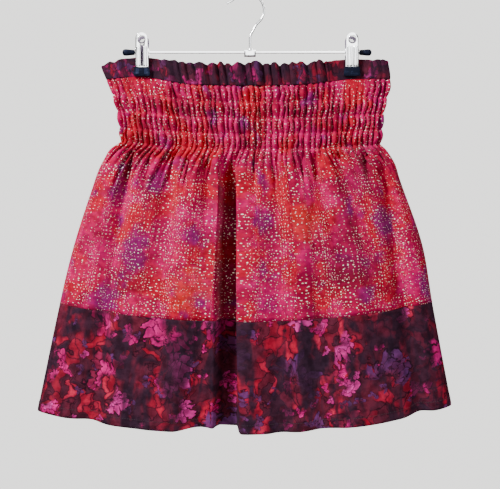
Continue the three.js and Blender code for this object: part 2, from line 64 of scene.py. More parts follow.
# %% Camera
DISTANCE = 1.4
VIEW_WIDTH = 0.65
VIEW_CENTRE = (0.0039, -0.3249)  # x and z of the middle of the picture
SENSOR = 36.0


def make_camera():
    """A camera that looks along +Y, level with the middle of the picture."""
    data = bpy.data.cameras.new("camera")
    data.sensor_width = SENSOR
    data.lens = SENSOR * DISTANCE / VIEW_WIDTH
    camera = bpy.data.objects.new("camera", data)
    camera.location = (VIEW_CENTRE[0], -DISTANCE, VIEW_CENTRE[1])
    camera.rotation_euler = (math.pi / 2, 0, 0)
    bpy.context.collection.objects.link(camera)
    bpy.context.scene.camera = camera
    print(f"camera: {data.lens:.1f} mm lens, {DISTANCE} m away")


make_camera()

# %% [markdown]
# ## Light
#
# A skirt is hung up where daylight comes from one side, so that its folds show. A sun would draw hard
# shadows, so a large soft light stands in front, to the upper left, and turns the valleys of the cloth dark.
# A weaker one opens the shadows from the right, and one behind draws the outline.

# %% Lights
AIM = (0, 0, -0.33)  # the middle of the skirt
LIGHT_COLUMNS = ("name", "location", "size", "power", "colour")
LIGHTS = [
    ("key", (-1.15, -1.1, 0.85), 0.5, 60, (1.0, 0.985, 0.96)),
    ("fill", (1.4, -1.1, 0.1), 1.0, 9, (0.97, 0.98, 1.0)),
    ("back", (0.5, 1.5, 0.7), 0.8, 34, (1.0, 0.99, 0.97)),
]


def make_area_light(name, location, size, power, colour):
    """A round light of a given diameter that looks at AIM; a larger one gives softer shadows."""
    data = bpy.data.lights.new(name, "AREA")
    data.shape = "DISK"
    data.size = size
    data.energy = power
    data.color = colour
    light = bpy.data.objects.new(name, data)
    light.location = location
    light.rotation_euler = (Vector(AIM) - Vector(location)).to_track_quat("-Z", "Y").to_euler()
    bpy.context.collection.objects.link(light)


for row in LIGHTS:
    make_area_light(*row)
print(f"lights: {[lamp.name for lamp in bpy.data.lights]}, by", ", ".join(LIGHT_COLUMNS))

# %% [markdown]
# The floor lies well below the hem, where a shadow can still fall on it. It isn't part of the skirt.

# %% Floor
FLOOR_Z = -0.80
FLOOR_SIZE = 1.25
FLOOR_COLOUR = (0.78, 0.77, 0.75, 1.0)


def make_floor():
    """A plain square, dull and pale."""
    half = FLOOR_SIZE / 2
    corners = [(-half, -half, FLOOR_Z), (half, -half, FLOOR_Z), (half, half, FLOOR_Z), (-half, half, FLOOR_Z)]
    mesh = bpy.data.meshes.new("floor")
    mesh.from_pydata(corners, [], [(0, 1, 2, 3)])
    floor = bpy.data.objects.new("floor", mesh)
    material = bpy.data.materials.new("floor")
    material.use_nodes = True
    shader = material.node_tree.nodes["Principled BSDF"]
    shader.inputs["Base Color"].default_value = FLOOR_COLOUR
    shader.inputs["Roughness"].default_value = 0.9
    mesh.materials.append(material)
    bpy.context.collection.objects.link(floor)


make_floor()
print(f"floor: {FLOOR_SIZE} m square, {-FLOOR_Z} m below the hook")

# %% [markdown]
# A picture of a room could light the scene as well. A world of a few nodes needs no file, and it can show
# the plated steel a brighter room than it shows the cloth, which keeps both looking right.

# %% World
BACKDROP = (1.0, 0.99, 0.97, 1.0)
BACKDROP_STRENGTH = 1.9  # what the camera sees behind the skirt
STUDIO_FLOOR, STUDIO_SIDES, STUDIO_CEILING = 0.30, 0.75, 1.0
STUDIO_HORIZON = 0.55  # how far up the studio its sides are at that grey, from 0 to 1
STUDIO_STRENGTH = 0.16  # how strongly the studio's walls light the cloth
GLOSS_DARK, GLOSS_BRIGHT = 0.10, 6.5  # the darkest and brightest that polished metal sees of them
GLOSS_FOOT = (-0.55, -0.2)  # the z of a direction: dark below the first, bright above the second
GLOSS_EDGE = (0.38, 0.20)  # its x, to either side: dark beyond the first, bright within the second


def make_world():
    """Three worlds in one: a plain pale backdrop for the camera, a room with a dark floor and a pale
    ceiling that lights the cloth, and a bright strip over it from front to back that only gloss shows."""
    world = bpy.data.worlds.new("studio")
    world.use_nodes = True
    nodes, link = world.node_tree.nodes, world.node_tree.links.new
    room = nodes["Background"]
    place = nodes.new("ShaderNodeTexCoord")
    towards = nodes.new("ShaderNodeSeparateXYZ")
    link(place.outputs["Generated"], towards.inputs[0])

    def fade(socket, low, high, to_low=0.0, to_high=1.0):
        """Eases from to_low, where the socket is at low, to to_high, where it is at high."""
        shade = nodes.new("ShaderNodeMapRange")
        shade.interpolation_type = "SMOOTHSTEP"
        ends = (("From Min", low), ("From Max", high), ("To Min", to_low), ("To Max", to_high))
        for key, value in ends:
            shade.inputs[key].default_value = value
        link(socket, shade.inputs["Value"])
        return shade.outputs[0]

    def combine(kind, inputs, **settings):
        """Adds a node, links its first inputs and gives back its output."""
        made = nodes.new(kind)
        for key, value in settings.items():
            setattr(made, key, value)
        for socket, value in zip(made.inputs, inputs):
            link(value, socket)
        return made.outputs[0]

    ramp = nodes.new("ShaderNodeValToRGB")
    ramp.color_ramp.elements.new(STUDIO_HORIZON)
    for element, grey in zip(ramp.color_ramp.elements, (STUDIO_FLOOR, STUDIO_SIDES, STUDIO_CEILING)):
        element.color = (grey, grey, grey, 1)
    link(fade(towards.outputs["Z"], -1, 1), ramp.inputs[0])
    link(ramp.outputs[0], room.inputs["Color"])
    room.inputs["Strength"].default_value = STUDIO_STRENGTH

    above = fade(towards.outputs["Z"], *GLOSS_FOOT)
    aside = combine("ShaderNodeMath", (towards.outputs["X"],), operation="ABSOLUTE")
    shine = combine("ShaderNodeMath", (above, fade(aside, *GLOSS_EDGE)), operation="MULTIPLY")
    gloss = nodes.new("ShaderNodeBackground")
    link(fade(shine, 0, 1, GLOSS_DARK, GLOSS_BRIGHT), gloss.inputs["Strength"])
    backdrop = nodes.new("ShaderNodeBackground")
    backdrop.inputs["Color"].default_value = BACKDROP
    backdrop.inputs["Strength"].default_value = BACKDROP_STRENGTH

    rays = nodes.new("ShaderNodeLightPath")
    seen = combine("ShaderNodeMixShader", (rays.outputs["Is Glossy Ray"], room.outputs[0], gloss.outputs[0]))
    seen = combine("ShaderNodeMixShader", (rays.outputs["Is Camera Ray"], seen, backdrop.outputs[0]))
    link(seen, nodes["World Output"].inputs["Surface"])
    bpy.context.scene.world = world


make_world()
print(f"world: {len(bpy.context.scene.world.node_tree.nodes)} nodes")

# %% [markdown]
# ## The tube of cloth, in numbers
#
# The real skirt is a wide tube, drawn in at the waist and hanging in folds of its own weight. It could be
# sculpted, or dropped as a simulated cloth. Tables are chosen because every fold has to fall where the
# solid has it, and each can be found and moved in a row of its own.
#
# `SECTIONS` has one row for each ring of the tube, and the folds have one row each. All are in
# millimetres, as a tailor would measure them, and turned into metres when a mesh is made.
#
# * `z` is the ring's height on the centre front.
# * `left` and `right` are the tube's outline from the front.
# * `front` and `back` are how far the cloth stands off the middle plane.
# * `rise_left` and `rise_right` say how much higher the ring hangs at its sides.
# * `square` is the power of the oval: 2 is an ellipse, 4 a flat tube with tight sides.

# %% Rings
COLUMNS = ("z", "left", "right", "front", "back", "rise_left", "rise_right", "square")
SECTIONS = {
    "frill top": (-91, -189.5, 183.5, 8, 8, 1, 3, 4),
    "frill seam": (-119.5, -183, 186.5, 8, 8, 6.5, 8, 4),
    "elastic 1": (-140, -175, 182.5, 8.5, 8.5, 7, 5, 4),
    "elastic 2": (-161, -169, 178, 9, 8.5, 8.5, 6, 4),
    "elastic 3": (-181.5, -166, 176, 9, 8.5, 9, 6.5, 3.8),
    "elastic 4": (-201.5, -165, 174, 9.5, 9, 10.5, 7, 3.6),
    "puff": (-216, -178.5, 180.5, 14, 11, 12.5, 11.5, 3.2),
    "high hip": (-236, -190, 191.5, 20, 13, 14, 14, 3),
    "hip": (-261.5, -199, 200.5, 25, 15, 15.5, 15.5, 2.9),
    "thigh": (-344.5, -224.5, 227.5, 33, 19, 19, 20, 2.7),
    "band seam": (-423, -243, 240.5, 37, 22, 22, 24, 2.6),
    "hem": (-564.5, -272, 265.5, 42, 26, 25, 32, 2.5),
}
TABLE = {column: np.array([row[i] for row in SECTIONS.values()]) for i, column in enumerate(COLUMNS)}
FRILL_TOP, FRILL_SEAM, BAND_SEAM, HEM = (
    SECTIONS[name][0] for name in ("frill top", "frill seam", "band seam", "hem")
)
ELASTICS = np.array([SECTIONS[f"elastic {row}"][0] for row in (1, 2, 3, 4)])
LAST_ELASTIC = ELASTICS[-1]
print(f"tube: {len(SECTIONS)} rings from {FRILL_TOP} to {HEM} mm, by", ", ".join(COLUMNS))

# %% [markdown]
# Below the elastic the cloth hangs in a few large folds that run on to the hem. A negative depth is a
# valley, a positive one a ridge. `x`, `depth` and the half-widths run from the last row of elastic to the
# hem. `steep` is the power of the fold's profile, and `late` says how late a fold gets its depth: 1 is
# evenly, 4 only near the hem. One fold of the front is so deep that its floor is out of the light.

# %% Folds
FOLD_COLUMNS = ("x", "depth", "left_width", "right_width", "steep", "late")
FOLDS = {
    FRONT: [
        ((-150, -199), (-5, -9), (9, 20), (8, 15), 2, 1),
        ((-112, -106), (-4, -1), (8, 14), (8, 14), 2, 1),
        ((-78, -96), (3, 6), (15, 34), (15, 30), 2, 1),
        ((-40, -60), (-1, -19), (10, 30), (10, 25), 2, 4),
        ((-25, -25), (-33, -36), (8, 14), (12, 15), 4, 1),
        ((6, 4), (3, 4), (9, 18), (10, 22), 2, 1),
        ((36, 44), (-4, -4), (8, 16), (8, 16), 2, 1),
        ((84, 96), (-5, -6), (6, 18), (14, 26), 2, 1),
        ((120, 158), (3, 5), (14, 30), (10, 22), 2, 1),
        ((170, 222), (-6, -11), (6, 15), (8, 15), 2, 1),
    ],
    BACK: [
        ((-142, -184), (-4, -7), (9, 18), (8, 16), 2, 1),
        ((-88, -110), (-4, -8), (9, 20), (8, 18), 2, 1),
        ((-36, -34), (-3, -6), (8, 20), (8, 16), 2, 1),
        ((22, 34), (-5, -9), (7, 18), (9, 22), 2, 1),
        ((80, 108), (-3, -6), (8, 16), (8, 18), 2, 1),
        ((138, 190), (-5, -8), (8, 18), (8, 16), 2, 1),
    ],
}
# The deep fold of the front has a ledge inside it, near its top, and the cloth to its right leans over it.
LEDGE_X, LEDGE_RAISED, LEDGE_HALF = -31, 15, 8
LEDGE_FOOT = (285, 312)  # it dies away between these depths below the hook
# Bumps (x, half-width, shift) move the cloth sideways: the lip to the left, the wall under it to the right.
LEANS = ((-7, 4.5, -6.0), (-17.5, 4.0, 7.0))
for word, side in SIDES:
    print(f"{word}: {len(FOLDS[side])} folds, by", ", ".join(FOLD_COLUMNS))

# %% [markdown]
# Between the large folds, creases start at the elastic and die away part of the way down. `x` and the
# half-widths are given at the top and at the foot, `foot` is the height where the crease has gone.

# %% Creases
CREASE_COLUMNS = ("x", "foot", "depth", "left_width", "right_width")
CREASES = {
    FRONT: [
        ((-147, -178), -420, -9.5, (10, 16), (5, 9)),
        ((-97, -100), -370, -12.5, (13, 16), (6, 9)),
        ((-47, -47), -345, -8.1, (10, 14), (4, 7)),
        ((-40, -42), -440, 6, (6, 9), (4, 5)),
        ((36, 38), -345, -4, (11, 22), (6, 12)),
        ((70, 73), -252, -9, (3.5, 5), (3, 5)),
        ((84, 148), -430, -9, (9, 20), (7, 12)),
        ((116, 160), -380, -9.5, (9, 18), (6, 10)),
        ((152, 158), -262, -8.1, (4, 5), (3, 5)),
        ((172, 206), -380, -8, (7, 14), (5, 8)),
        ((-186, -205), -330, -5.4, (8, 12), (5, 8)),
        ((10, 8), -290, -5.4, (4, 7), (3, 6)),
        ((-76, -78), -285, -5.4, (5, 8), (3, 6)),
        ((-122, -138), -290, -5.4, (5, 8), (3, 6)),
        ((52, 54), -300, 3.6, (6, 9), (4, 7)),
        ((100, 108), -290, 3.6, (6, 9), (4, 7)),
    ],
    BACK: [
        ((-150, -176), -400, -9.5, (9, 16), (6, 10)),
        ((-112, -122), -330, -8.1, (8, 14), (6, 10)),
        ((-70, -70), -360, -9.5, (10, 16), (6, 9)),
        ((-30, -38), -300, -6.8, (6, 10), (5, 8)),
        ((8, 6), -390, -9.5, (10, 18), (7, 12)),
        ((46, 52), -320, -8.1, (7, 12), (5, 9)),
        ((88, 96), -400, -9.5, (9, 18), (6, 12)),
        ((122, 136), -310, -8.1, (6, 10), (5, 8)),
        ((156, 186), -410, -8.1, (8, 14), (6, 9)),
    ],
}
CREASE_TOP = -207
for word, side in SIDES:
    print(f"{word}: {len(CREASES[side])} creases, by", ", ".join(CREASE_COLUMNS))

# %% [markdown]
# A deep valley draws the hem up, since the cloth there has further to go, and the clips pinch the waist flat
# and pull it up a little. At the side seams the folds die away, so that front and back meet.

# %% Hem, side seams and clips
FOLD_LIFT = 0.3  # how much a valley draws the hem up, as a share of its depth
FOLD_LIFT_MOST = 20  # a deeper valley lifts it no more than one of this depth
FOLD_LIFT_Z = -323  # it starts at this height
SIDE_CLEAR = 0.1  # share of a panel over which folds die away at a side seam

CLIP_X = 136
CLIP_LIFT = (8.5, 5.0)  # how far the left and the right clip draw the waist up
CLIP_LIFT_REACH = 40  # how far to either side of a clip that is felt
PINCHED = 1.9  # where the cloth's outside lies between the jaws
PINCH_FULL, PINCH_ENDS = 14, 40  # from the middle of a clip: flat as far as this, free from here on
PINCH_HELD_Z, PINCH_FREE_Z = -122, -150
print(f"clips: {2 * CLIP_X} mm apart, the cloth flat for {2 * PINCH_FULL} mm at each")

# %% [markdown]
# ## Between two rows of a table
#
# Straight lines between the rings would show as kinks in the skirt's outline. So a ring between two rows
# comes from a cubic whose slope at each row is that of its two neighbours. For `s` from 0 to 1 over a gap
# of `h`, with end values `a`, `b` and slopes `p`, `q`:
#
# `a (1 + 2s)(1 - s)^2 + b s^2 (3 - 2s) + h (p s (1 - s)^2 - q s^2 (1 - s))`

# %% Easing, mixing and rings at any height


def smoothstep(value, low, high):
    """0 below low, 1 above high, and 3s^2 - 2s^3 between."""
    s = np.clip((value - low) / (high - low), 0, 1)
    return s * s * (3 - 2 * s)


def mix(pair, share):
    """From the pair's first value at a share of 0 to its second at 1."""
    return pair[0] + (pair[1] - pair[0]) * share


def scatter(n):
    """A repeatable number from -0.5 to 0.5 for each n: the fraction of a large sine."""
    return np.mod(np.sin(np.asarray(n, float) * 12.9898) * 43758.5453, 1) - 0.5


def section(column, z):
    """A column of SECTIONS at any height z."""
    levels, values = TABLE["z"], TABLE[column]
    last = len(levels) - 1
    before = np.clip(np.arange(last + 1) - 1, 0, last)
    after = np.clip(np.arange(last + 1) + 1, 0, last)
    slopes = (values[after] - values[before]) / (levels[after] - levels[before])
    low = np.clip(np.searchsorted(-levels, -np.asarray(z, float)), 1, last)
    span = levels[low] - levels[low - 1]
    s = np.clip((z - levels[low - 1]) / span, 0, 1)
    ends = values[low - 1] * (1 + 2 * s) * (1 - s) ** 2 + values[low] * s * s * (3 - 2 * s)
    return ends + span * (slopes[low - 1] * s * (1 - s) ** 2 - slopes[low] * s * s * (1 - s))


for name, row in SECTIONS.items():
    print(f"{name}: {section('right', row[0]) - section('left', row[0]):.0f} mm wide")


# %% [markdown]
# ## The flat oval
#
# Seen from above, a skirt on a hanger is a flattened oval with tight sides. An ellipse would be too pointed
# there. So half of a ring is a superellipse, `|x/a|^n + |y/b|^n = 1`, walked at an even pace from the left
# side seam (`t = 0`) to the right one (`t = 1`). The even pace keeps the print from stretching.

# %% Ovals
PUFF = 0.8  # how far the cloth swells between two rows of elastic
OVAL_STEPS = 400


def between_rows(z):
    """How far z is through its gap between two lines of elastic or the seam: 0 to 1, or nan below them."""
    lines = np.concatenate([[FRILL_SEAM], ELASTICS])
    low = np.searchsorted(-lines, -z, side="right")
    inside = (low > 0) & (low < len(lines))
    low = np.clip(low, 1, len(lines) - 1)
    return np.where(inside, (lines[low - 1] - z) / (lines[low - 1] - lines[low]), np.nan)


def puff(z):
    """PUFF sin(pi s)^2 for s from 0 to 1 between two rows, and 0 below them."""
    return PUFF * np.nan_to_num(np.sin(np.pi * between_rows(z)) ** 2)


def oval(side, z, t):
    """x and y of half a ring at each height in z (a column) and each share t (a row or a grid)."""
    z = np.atleast_1d(z)
    turn = np.pi * (np.linspace(0, 1, OVAL_STEPS + 1) - 0.5)
    t = np.broadcast_to(t, (len(z), np.shape(t)[-1]))
    x, y = np.empty_like(t), np.empty_like(t)
    depth = section("front" if side == FRONT else "back", z) + puff(z)
    left, right, power = section("left", z), section("right", z), 2 / section("square", z)
    for i in range(len(z)):
        across = np.sign(turn) * np.abs(np.sin(turn)) ** power[i]
        ring_x = (left[i] + right[i]) / 2 + across * (right[i] - left[i]) / 2
        ring_y = depth[i] * np.clip(np.cos(turn), 0, None) ** power[i]
        length = np.concatenate([[0], np.cumsum(np.hypot(np.diff(ring_x), np.diff(ring_y)))])
        x[i] = np.interp(t[i], length / length[-1], ring_x)
        y[i] = np.interp(t[i], length / length[-1], ring_y)
    return x, side * y


for name in ("elastic 4", "hem"):
    ring_x, ring_y = oval(FRONT, SECTIONS[name][0], np.linspace(0, 1, OVAL_STEPS))
    around = np.hypot(np.diff(ring_x), np.diff(ring_y)).sum()
    print(f"{name}: {around:.0f} mm round the front, smoothed over its folds")


# %% [markdown]
# ## The draped cloth
#
# The folds push the oval in and out, the clips pinch it flat, and everything rises towards the sides. Each
# of these could be a modifier with its own empty to steer it. As functions of the place they work on a
# whole grid at once, and the same functions carry every sewn piece, so that the seams meet.

# %% Folds, creases and lifts
def pinch(x, z):
    """How firmly the nearer clip holds the cloth: 1 between its jaws, 0 well away from it."""
    away = np.abs(np.abs(x) - CLIP_X)
    return (1 - smoothstep(away, PINCH_FULL, PINCH_ENDS)) * smoothstep(z, PINCH_FREE_Z, PINCH_HELD_Z)


def folds(side, x, z):
    """Sum over the folds of depth * exp(-|away / width|^steep), growing in below the last elastic."""
    down = np.clip((LAST_ELASTIC - z) / (LAST_ELASTIC - HEM), 0, 1)
    out = 0
    for at, depth, left_width, right_width, steep, late in FOLDS[side]:
        away = x - mix(at, down)
        width = np.where(away < 0, mix(left_width, down), mix(right_width, down))
        out = out + mix(depth, down**late) * np.exp(-(np.abs(away / width) ** steep))
    if side == FRONT:
        ledge = LEDGE_RAISED * np.exp(-(np.abs((x - LEDGE_X) / LEDGE_HALF) ** 4))
        out = out + ledge * (1 - smoothstep(-z, *LEDGE_FOOT))
    return out * np.sqrt(smoothstep(down, 0, 0.25))


def creases(side, x, z):
    """Sum of depth * exp(-(away / width)^2), grown in under the elastic and faded out at each one's foot."""
    out = 0
    for at, foot, depth, left_width, right_width in CREASES[side]:
        down = np.clip((CREASE_TOP - z) / (CREASE_TOP - foot), 0, 1)
        away = x - mix(at, down)
        width = np.where(away < 0, mix(left_width, down), mix(right_width, down))
        fade = smoothstep(LAST_ELASTIC - z, 1, 16) * (1 - smoothstep(down, 0.45, 1))
        out = out + depth * fade * np.exp(-((away / width) ** 2))
    return out


def lean(side, x, z):
    """How far the cloth beside the deep fold is pushed sideways: a sum of shift * exp(-(away / width)^2)."""
    if side == BACK:
        return 0 * x
    grown = smoothstep(LAST_ELASTIC - z, 4, 40) * (1 - 0.6 * smoothstep(-z, -BAND_SEAM, -HEM))
    return grown * sum(shift * np.exp(-(((x - at) / width) ** 2)) for at, width, shift in LEANS)


def height(x, z, fold):
    """The cloth's height at x on the ring that crosses the centre front at z."""
    left, right = section("left", z), section("right", z)
    across = (2 * x - left - right) / (right - left)
    rise = np.where(across < 0, section("rise_left", z), section("rise_right", z)) * across**2
    lift = np.where(x < 0, *CLIP_LIFT) * np.exp(-(((np.abs(x) - CLIP_X) / CLIP_LIFT_REACH) ** 2))
    by_clip = lift * smoothstep(z, SECTIONS["elastic 3"][0], FRILL_SEAM)
    by_valley = FOLD_LIFT * np.clip(-fold, 0, FOLD_LIFT_MOST) * smoothstep(-z, -FOLD_LIFT_Z, -HEM)
    return z + rise + by_clip + by_valley


feet = [fold[0][1] for fold in FOLDS[FRONT]]
print("the front's folds at the hem, in mm:", [round(float(folds(FRONT, foot, HEM))) for foot in feet])

# %% [markdown]
# `draped` puts these together for a grid, and `outwards` finds the direction square to the cloth, in which
# gathers, stitches and hems stand off it.

# %% The tube of cloth
def draped(side, z, t, relief):
    """The cloth at shares t of the rings z, as an array (rows, columns, 3) in millimetres.

    relief(t, z) is any form finer than a fold. Past a side seam the tube goes on as its mirror image.
    """
    t = np.broadcast_to(t, (len(z), np.shape(t)[-1]))
    inside = np.where(t < 0, -t, np.where(t > 1, 2 - t, t))
    x, y = oval(side, z, inside)
    z = z[:, None]
    held = pinch(x, z)
    clear = smoothstep(inside, 0, SIDE_CLEAR) * smoothstep(1 - inside, 0, SIDE_CLEAR)
    fold = (folds(side, x, z) + creases(side, x, z)) * clear
    out = np.abs(y * (1 - held) + side * PINCHED * held) + fold + relief(inside, z) * (1 - held) * clear
    out = np.maximum(out, 0) * np.where((t < 0) | (t > 1), -side, side)
    return np.stack([x + lean(side, x, z), out, height(x, z, fold)], axis=-1)


def outwards(side, z, t, relief, step=0.002):
    """The unit direction square to each ring, from the difference of two close points on it."""
    along = draped(side, z, t + step, relief) - draped(side, z, t - step, relief)
    normal = np.stack([-side * along[..., 1], side * along[..., 0], np.zeros(along.shape[:2])], axis=-1)
    return normal / np.linalg.norm(normal, axis=-1, keepdims=True)


middle = draped(FRONT, np.array([HEM]), np.array([0.5]), lambda t, z: 0)[0, 0]
print("halfway round the front of the hem:", middle.round(1).tolist(), "mm")

# %% [markdown]
# ## Grids into meshes
#
# Every sewn piece is one sheet of cloth. `sheet_mesh` takes a grid of points and a grid of flat-cloth
# coordinates, and writes both with `foreach_set`, which is much quicker than adding faces one by one. The
# flat coordinates are kept for each corner of each face, so the print may jump at the bottom of a gather,
# where the cloth between is tucked out of sight.

# %% Sheets of cloth
def sheet_mesh(name, points, flat, outward_side):
    """A grid of quads from points (rows, columns, 3) in mm; flat is (rows, columns, 2), or one value for
    each corner of each face, (rows - 1, columns - 1, 4, 2), in metres."""
    rows, columns = points.shape[:2]
    index = np.arange(rows * columns).reshape(rows, columns)
    quads = np.stack([index[:-1, :-1], index[1:, :-1], index[1:, 1:], index[:-1, 1:]], axis=-1)
    if flat.ndim == 3:
        flat = np.stack([flat[:-1, :-1], flat[1:, :-1], flat[1:, 1:], flat[:-1, 1:]], axis=2)
    if outward_side == BACK:
        quads, flat = quads[..., ::-1], flat[:, :, ::-1]
    quads = quads.reshape(-1, 4)
    mesh = bpy.data.meshes.new(name)
    mesh.vertices.add(rows * columns)
    mesh.vertices.foreach_set("co", (points * MM).astype(np.float32).ravel())
    mesh.loops.add(quads.size)
    mesh.loops.foreach_set("vertex_index", quads.astype(np.int32).ravel())
    mesh.polygons.add(len(quads))
    mesh.polygons.foreach_set("loop_start", (4 * np.arange(len(quads))).astype(np.int32))
    mesh.update(calc_edges=True)
    mesh.polygons.foreach_set("use_smooth", np.ones(len(quads), bool))
    mesh.uv_layers.new(name="cloth").data.foreach_set("uv", flat.astype(np.float32).ravel())
    mesh.validate()
    return mesh


# %% [markdown]
# A piece says which body it rides on, what kind of surface it has and which solids it stands for. Cloth gets
# its thickness from Solidify, which keeps the right side where it is and adds a reverse behind it. A second
# grid would do the same with twice the points to keep in step.

# %% Pieces
def add_piece(name, mesh, materials, replaced=()):
    """Links a piece that rides on the object and stands for the CAD nodes it replaces."""
    piece = bpy.data.objects.new(name, mesh)
    for material in materials:
        mesh.materials.append(material)
    bpy.context.collection.objects.link(piece)
    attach(piece, "root")
    if replaced:
        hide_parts(*replaced)
    return piece


def give_thickness(piece, thickness):
    """Turns the sheet into a shell, inwards, with the second material on its reverse."""
    solidify = piece.modifiers.new("cloth", "SOLIDIFY")
    solidify.thickness = thickness
    solidify.offset = -1
    solidify.material_offset = 1
    solidify.use_quality_normals = True


# %% [markdown]
# ## Node groups
#
# Each effect that more than one material needs is a node group with named sockets. `Graph` only shortens
# the making of nodes: `graph.math("MULTIPLY", a, b)` adds a Math node and gives back its output.

# %% A short way to build nodes
class Graph:
    """Adds nodes to a tree and links them. A socket argument may be an output or a plain value."""

    def __init__(self, tree):
        self.tree = tree

    def node(self, kind, inputs=None, **settings):
        """A node with its settings, and its inputs fed by name or number."""
        made = self.tree.nodes.new(kind)
        for key, value in settings.items():
            setattr(made, key, value)
        for key, value in (inputs or {}).items():
            self.feed(made.inputs[key], value)
        return made

    def feed(self, socket, value):
        """Links an output to the socket, or sets the socket's own value."""
        if isinstance(value, bpy.types.NodeSocket):
            self.tree.links.new(value, socket)
        elif value is not None:
            socket.default_value = value

    def math(self, operation, a, b=None, c=None):
        """MULTIPLY_ADD is a b + c; the other operations take one value or two."""
        made = self.node("ShaderNodeMath", operation=operation)
        for socket, value in zip(made.inputs, (a, b, c)):
            self.feed(socket, value)
        return made.outputs[0]

    def vector(self, operation, a, b=None, scale=None):
        """SCALE takes a number as scale; the other operations take a second vector, b."""
        made = self.node("ShaderNodeVectorMath", operation=operation)
        self.feed(made.inputs[0], a)
        self.feed(made.inputs[3 if scale is not None else 1], b if scale is None else scale)
        return made.outputs["Vector"]

    def step(self, value, low, high):
        """Smooth 0 to 1 as value goes from low to high; low may be the greater."""
        made = self.node("ShaderNodeMapRange", interpolation_type="SMOOTHSTEP")
        for key, given in (("Value", value), ("From Min", low), ("From Max", high)):
            self.feed(made.inputs[key], given)
        return made.outputs["Result"]

    def blend(self, factor, a, b):
        """The colour a where the factor is 0, and b where it is 1."""
        made = self.node("ShaderNodeMix", data_type="RGBA")
        for socket, value in ((made.inputs[0], factor), (made.inputs[6], a), (made.inputs[7], b)):
            self.feed(socket, value)
        return made.outputs[2]

    def noise(self, vector, scale, detail=2.0, roughness=0.5):
        """Flat noise in patches 1 / scale across, with finer ones laid over them as detail says."""
        inputs = {"Vector": vector, "Scale": scale, "Detail": detail, "Roughness": roughness}
        return self.node("ShaderNodeTexNoise", inputs, noise_dimensions="2D")

    def cells(self, vector, randomness, **settings):
        """A flat Voronoi pattern with one point in each unit square."""
        inputs = {"Vector": vector, "Scale": 1.0, "Randomness": randomness}
        return self.node("ShaderNodeTexVoronoi", inputs, voronoi_dimensions="2D", **settings)

    def in_units(self, vector, size):
        """The vector divided by size, so that a pattern one unit across comes out at that size."""
        return self.vector("SCALE", vector, scale=self.math("DIVIDE", 1.0, size))

    def seeded(self, vector, seed):
        """The vector moved by the seed both ways, to another part of the same endless pattern."""
        offset = self.node("ShaderNodeCombineXYZ", {"X": seed, "Y": seed}).outputs[0]
        return self.vector("ADD", vector, offset)

    def pushed(self, vector, by, scale, detail, reach):
        """The vector plus reach times (noise at by, less a half), which makes straight edges wander."""
        stray = self.vector("SUBTRACT", self.noise(by, scale, detail).outputs["Color"], (0.5, 0.5, 0.5))
        return self.vector("ADD", vector, self.vector("SCALE", stray, scale=reach))

    def ramp(self, factor, stops):
        """Colours at positions from 0 to 1, mixed in between."""
        made = self.node("ShaderNodeValToRGB", {"Fac": factor})
        elements = made.color_ramp.elements
        while len(elements) < len(stops):
            elements.new(0.5)
        for element, (position, colour) in zip(elements, stops):
            element.position, element.color = position, (*colour, 1)
        return made.outputs["Color"]


# %% [markdown]
# A group is a tree of its own with named sockets, so its values can be set anew wherever it is used.

# %% New groups
def new_group(name, outputs, **inputs):
    """An empty group: the place on the cloth and other inputs with their defaults go in, numbers come out."""
    tree = bpy.data.node_groups.new(name, "ShaderNodeTree")
    tree.interface.new_socket("Vector", in_out="INPUT", socket_type="NodeSocketVector")
    for label, default in inputs.items():
        kind = "NodeSocketVector" if isinstance(default, tuple) else "NodeSocketFloat"
        tree.interface.new_socket(label, in_out="INPUT", socket_type=kind).default_value = default
    for label in outputs:
        tree.interface.new_socket(label, in_out="OUTPUT", socket_type="NodeSocketFloat")
    graph = Graph(tree)
    given = tree.nodes.new("NodeGroupInput").outputs
    result = tree.nodes.new("NodeGroupOutput").inputs
    return graph, given, result


def counted(tree):
    """Prints how many nodes a finished group has, and gives the group back."""
    print(f"node group {tree.name}: {len(tree.nodes)} nodes")
    return tree


# %% [markdown]
# **Weave** is the plain weave of light cotton, whose threads of width `Pitch` go over and under. Threads as
# geometry would be millions of faces for something this fine. Two rows of bumps are enough to break up the
# light, so the height is the greater of `|sin(pi u / Pitch)|` and `|sin(pi v / Pitch)|`.

# %% Weave
def make_weave_group():
    """The greater of |sin(pi u / Pitch)| and |sin(pi v / Pitch)|."""
    graph, given, result = new_group("Weave", ["Height"], Pitch=0.0004)
    scaled = graph.vector("SCALE", given["Vector"], scale=graph.math("DIVIDE", math.pi, given["Pitch"]))
    split = graph.node("ShaderNodeSeparateXYZ", {"Vector": scaled})
    across = graph.math("ABSOLUTE", graph.math("SINE", split.outputs["X"]))
    down = graph.math("ABSOLUTE", graph.math("SINE", split.outputs["Y"]))
    graph.feed(result["Height"], graph.math("MAXIMUM", across, down))
    return graph.tree


WEAVE = counted(make_weave_group())

# %% [markdown]
# **Dye** is a soft patch of dye that has run into wet cloth. Plain noise gives round clouds. Noise whose own
# position is pushed about by coarser noise gives the tongues and bays of a real dye. `Amount` moves the
# threshold, so a larger amount covers more of the cloth.

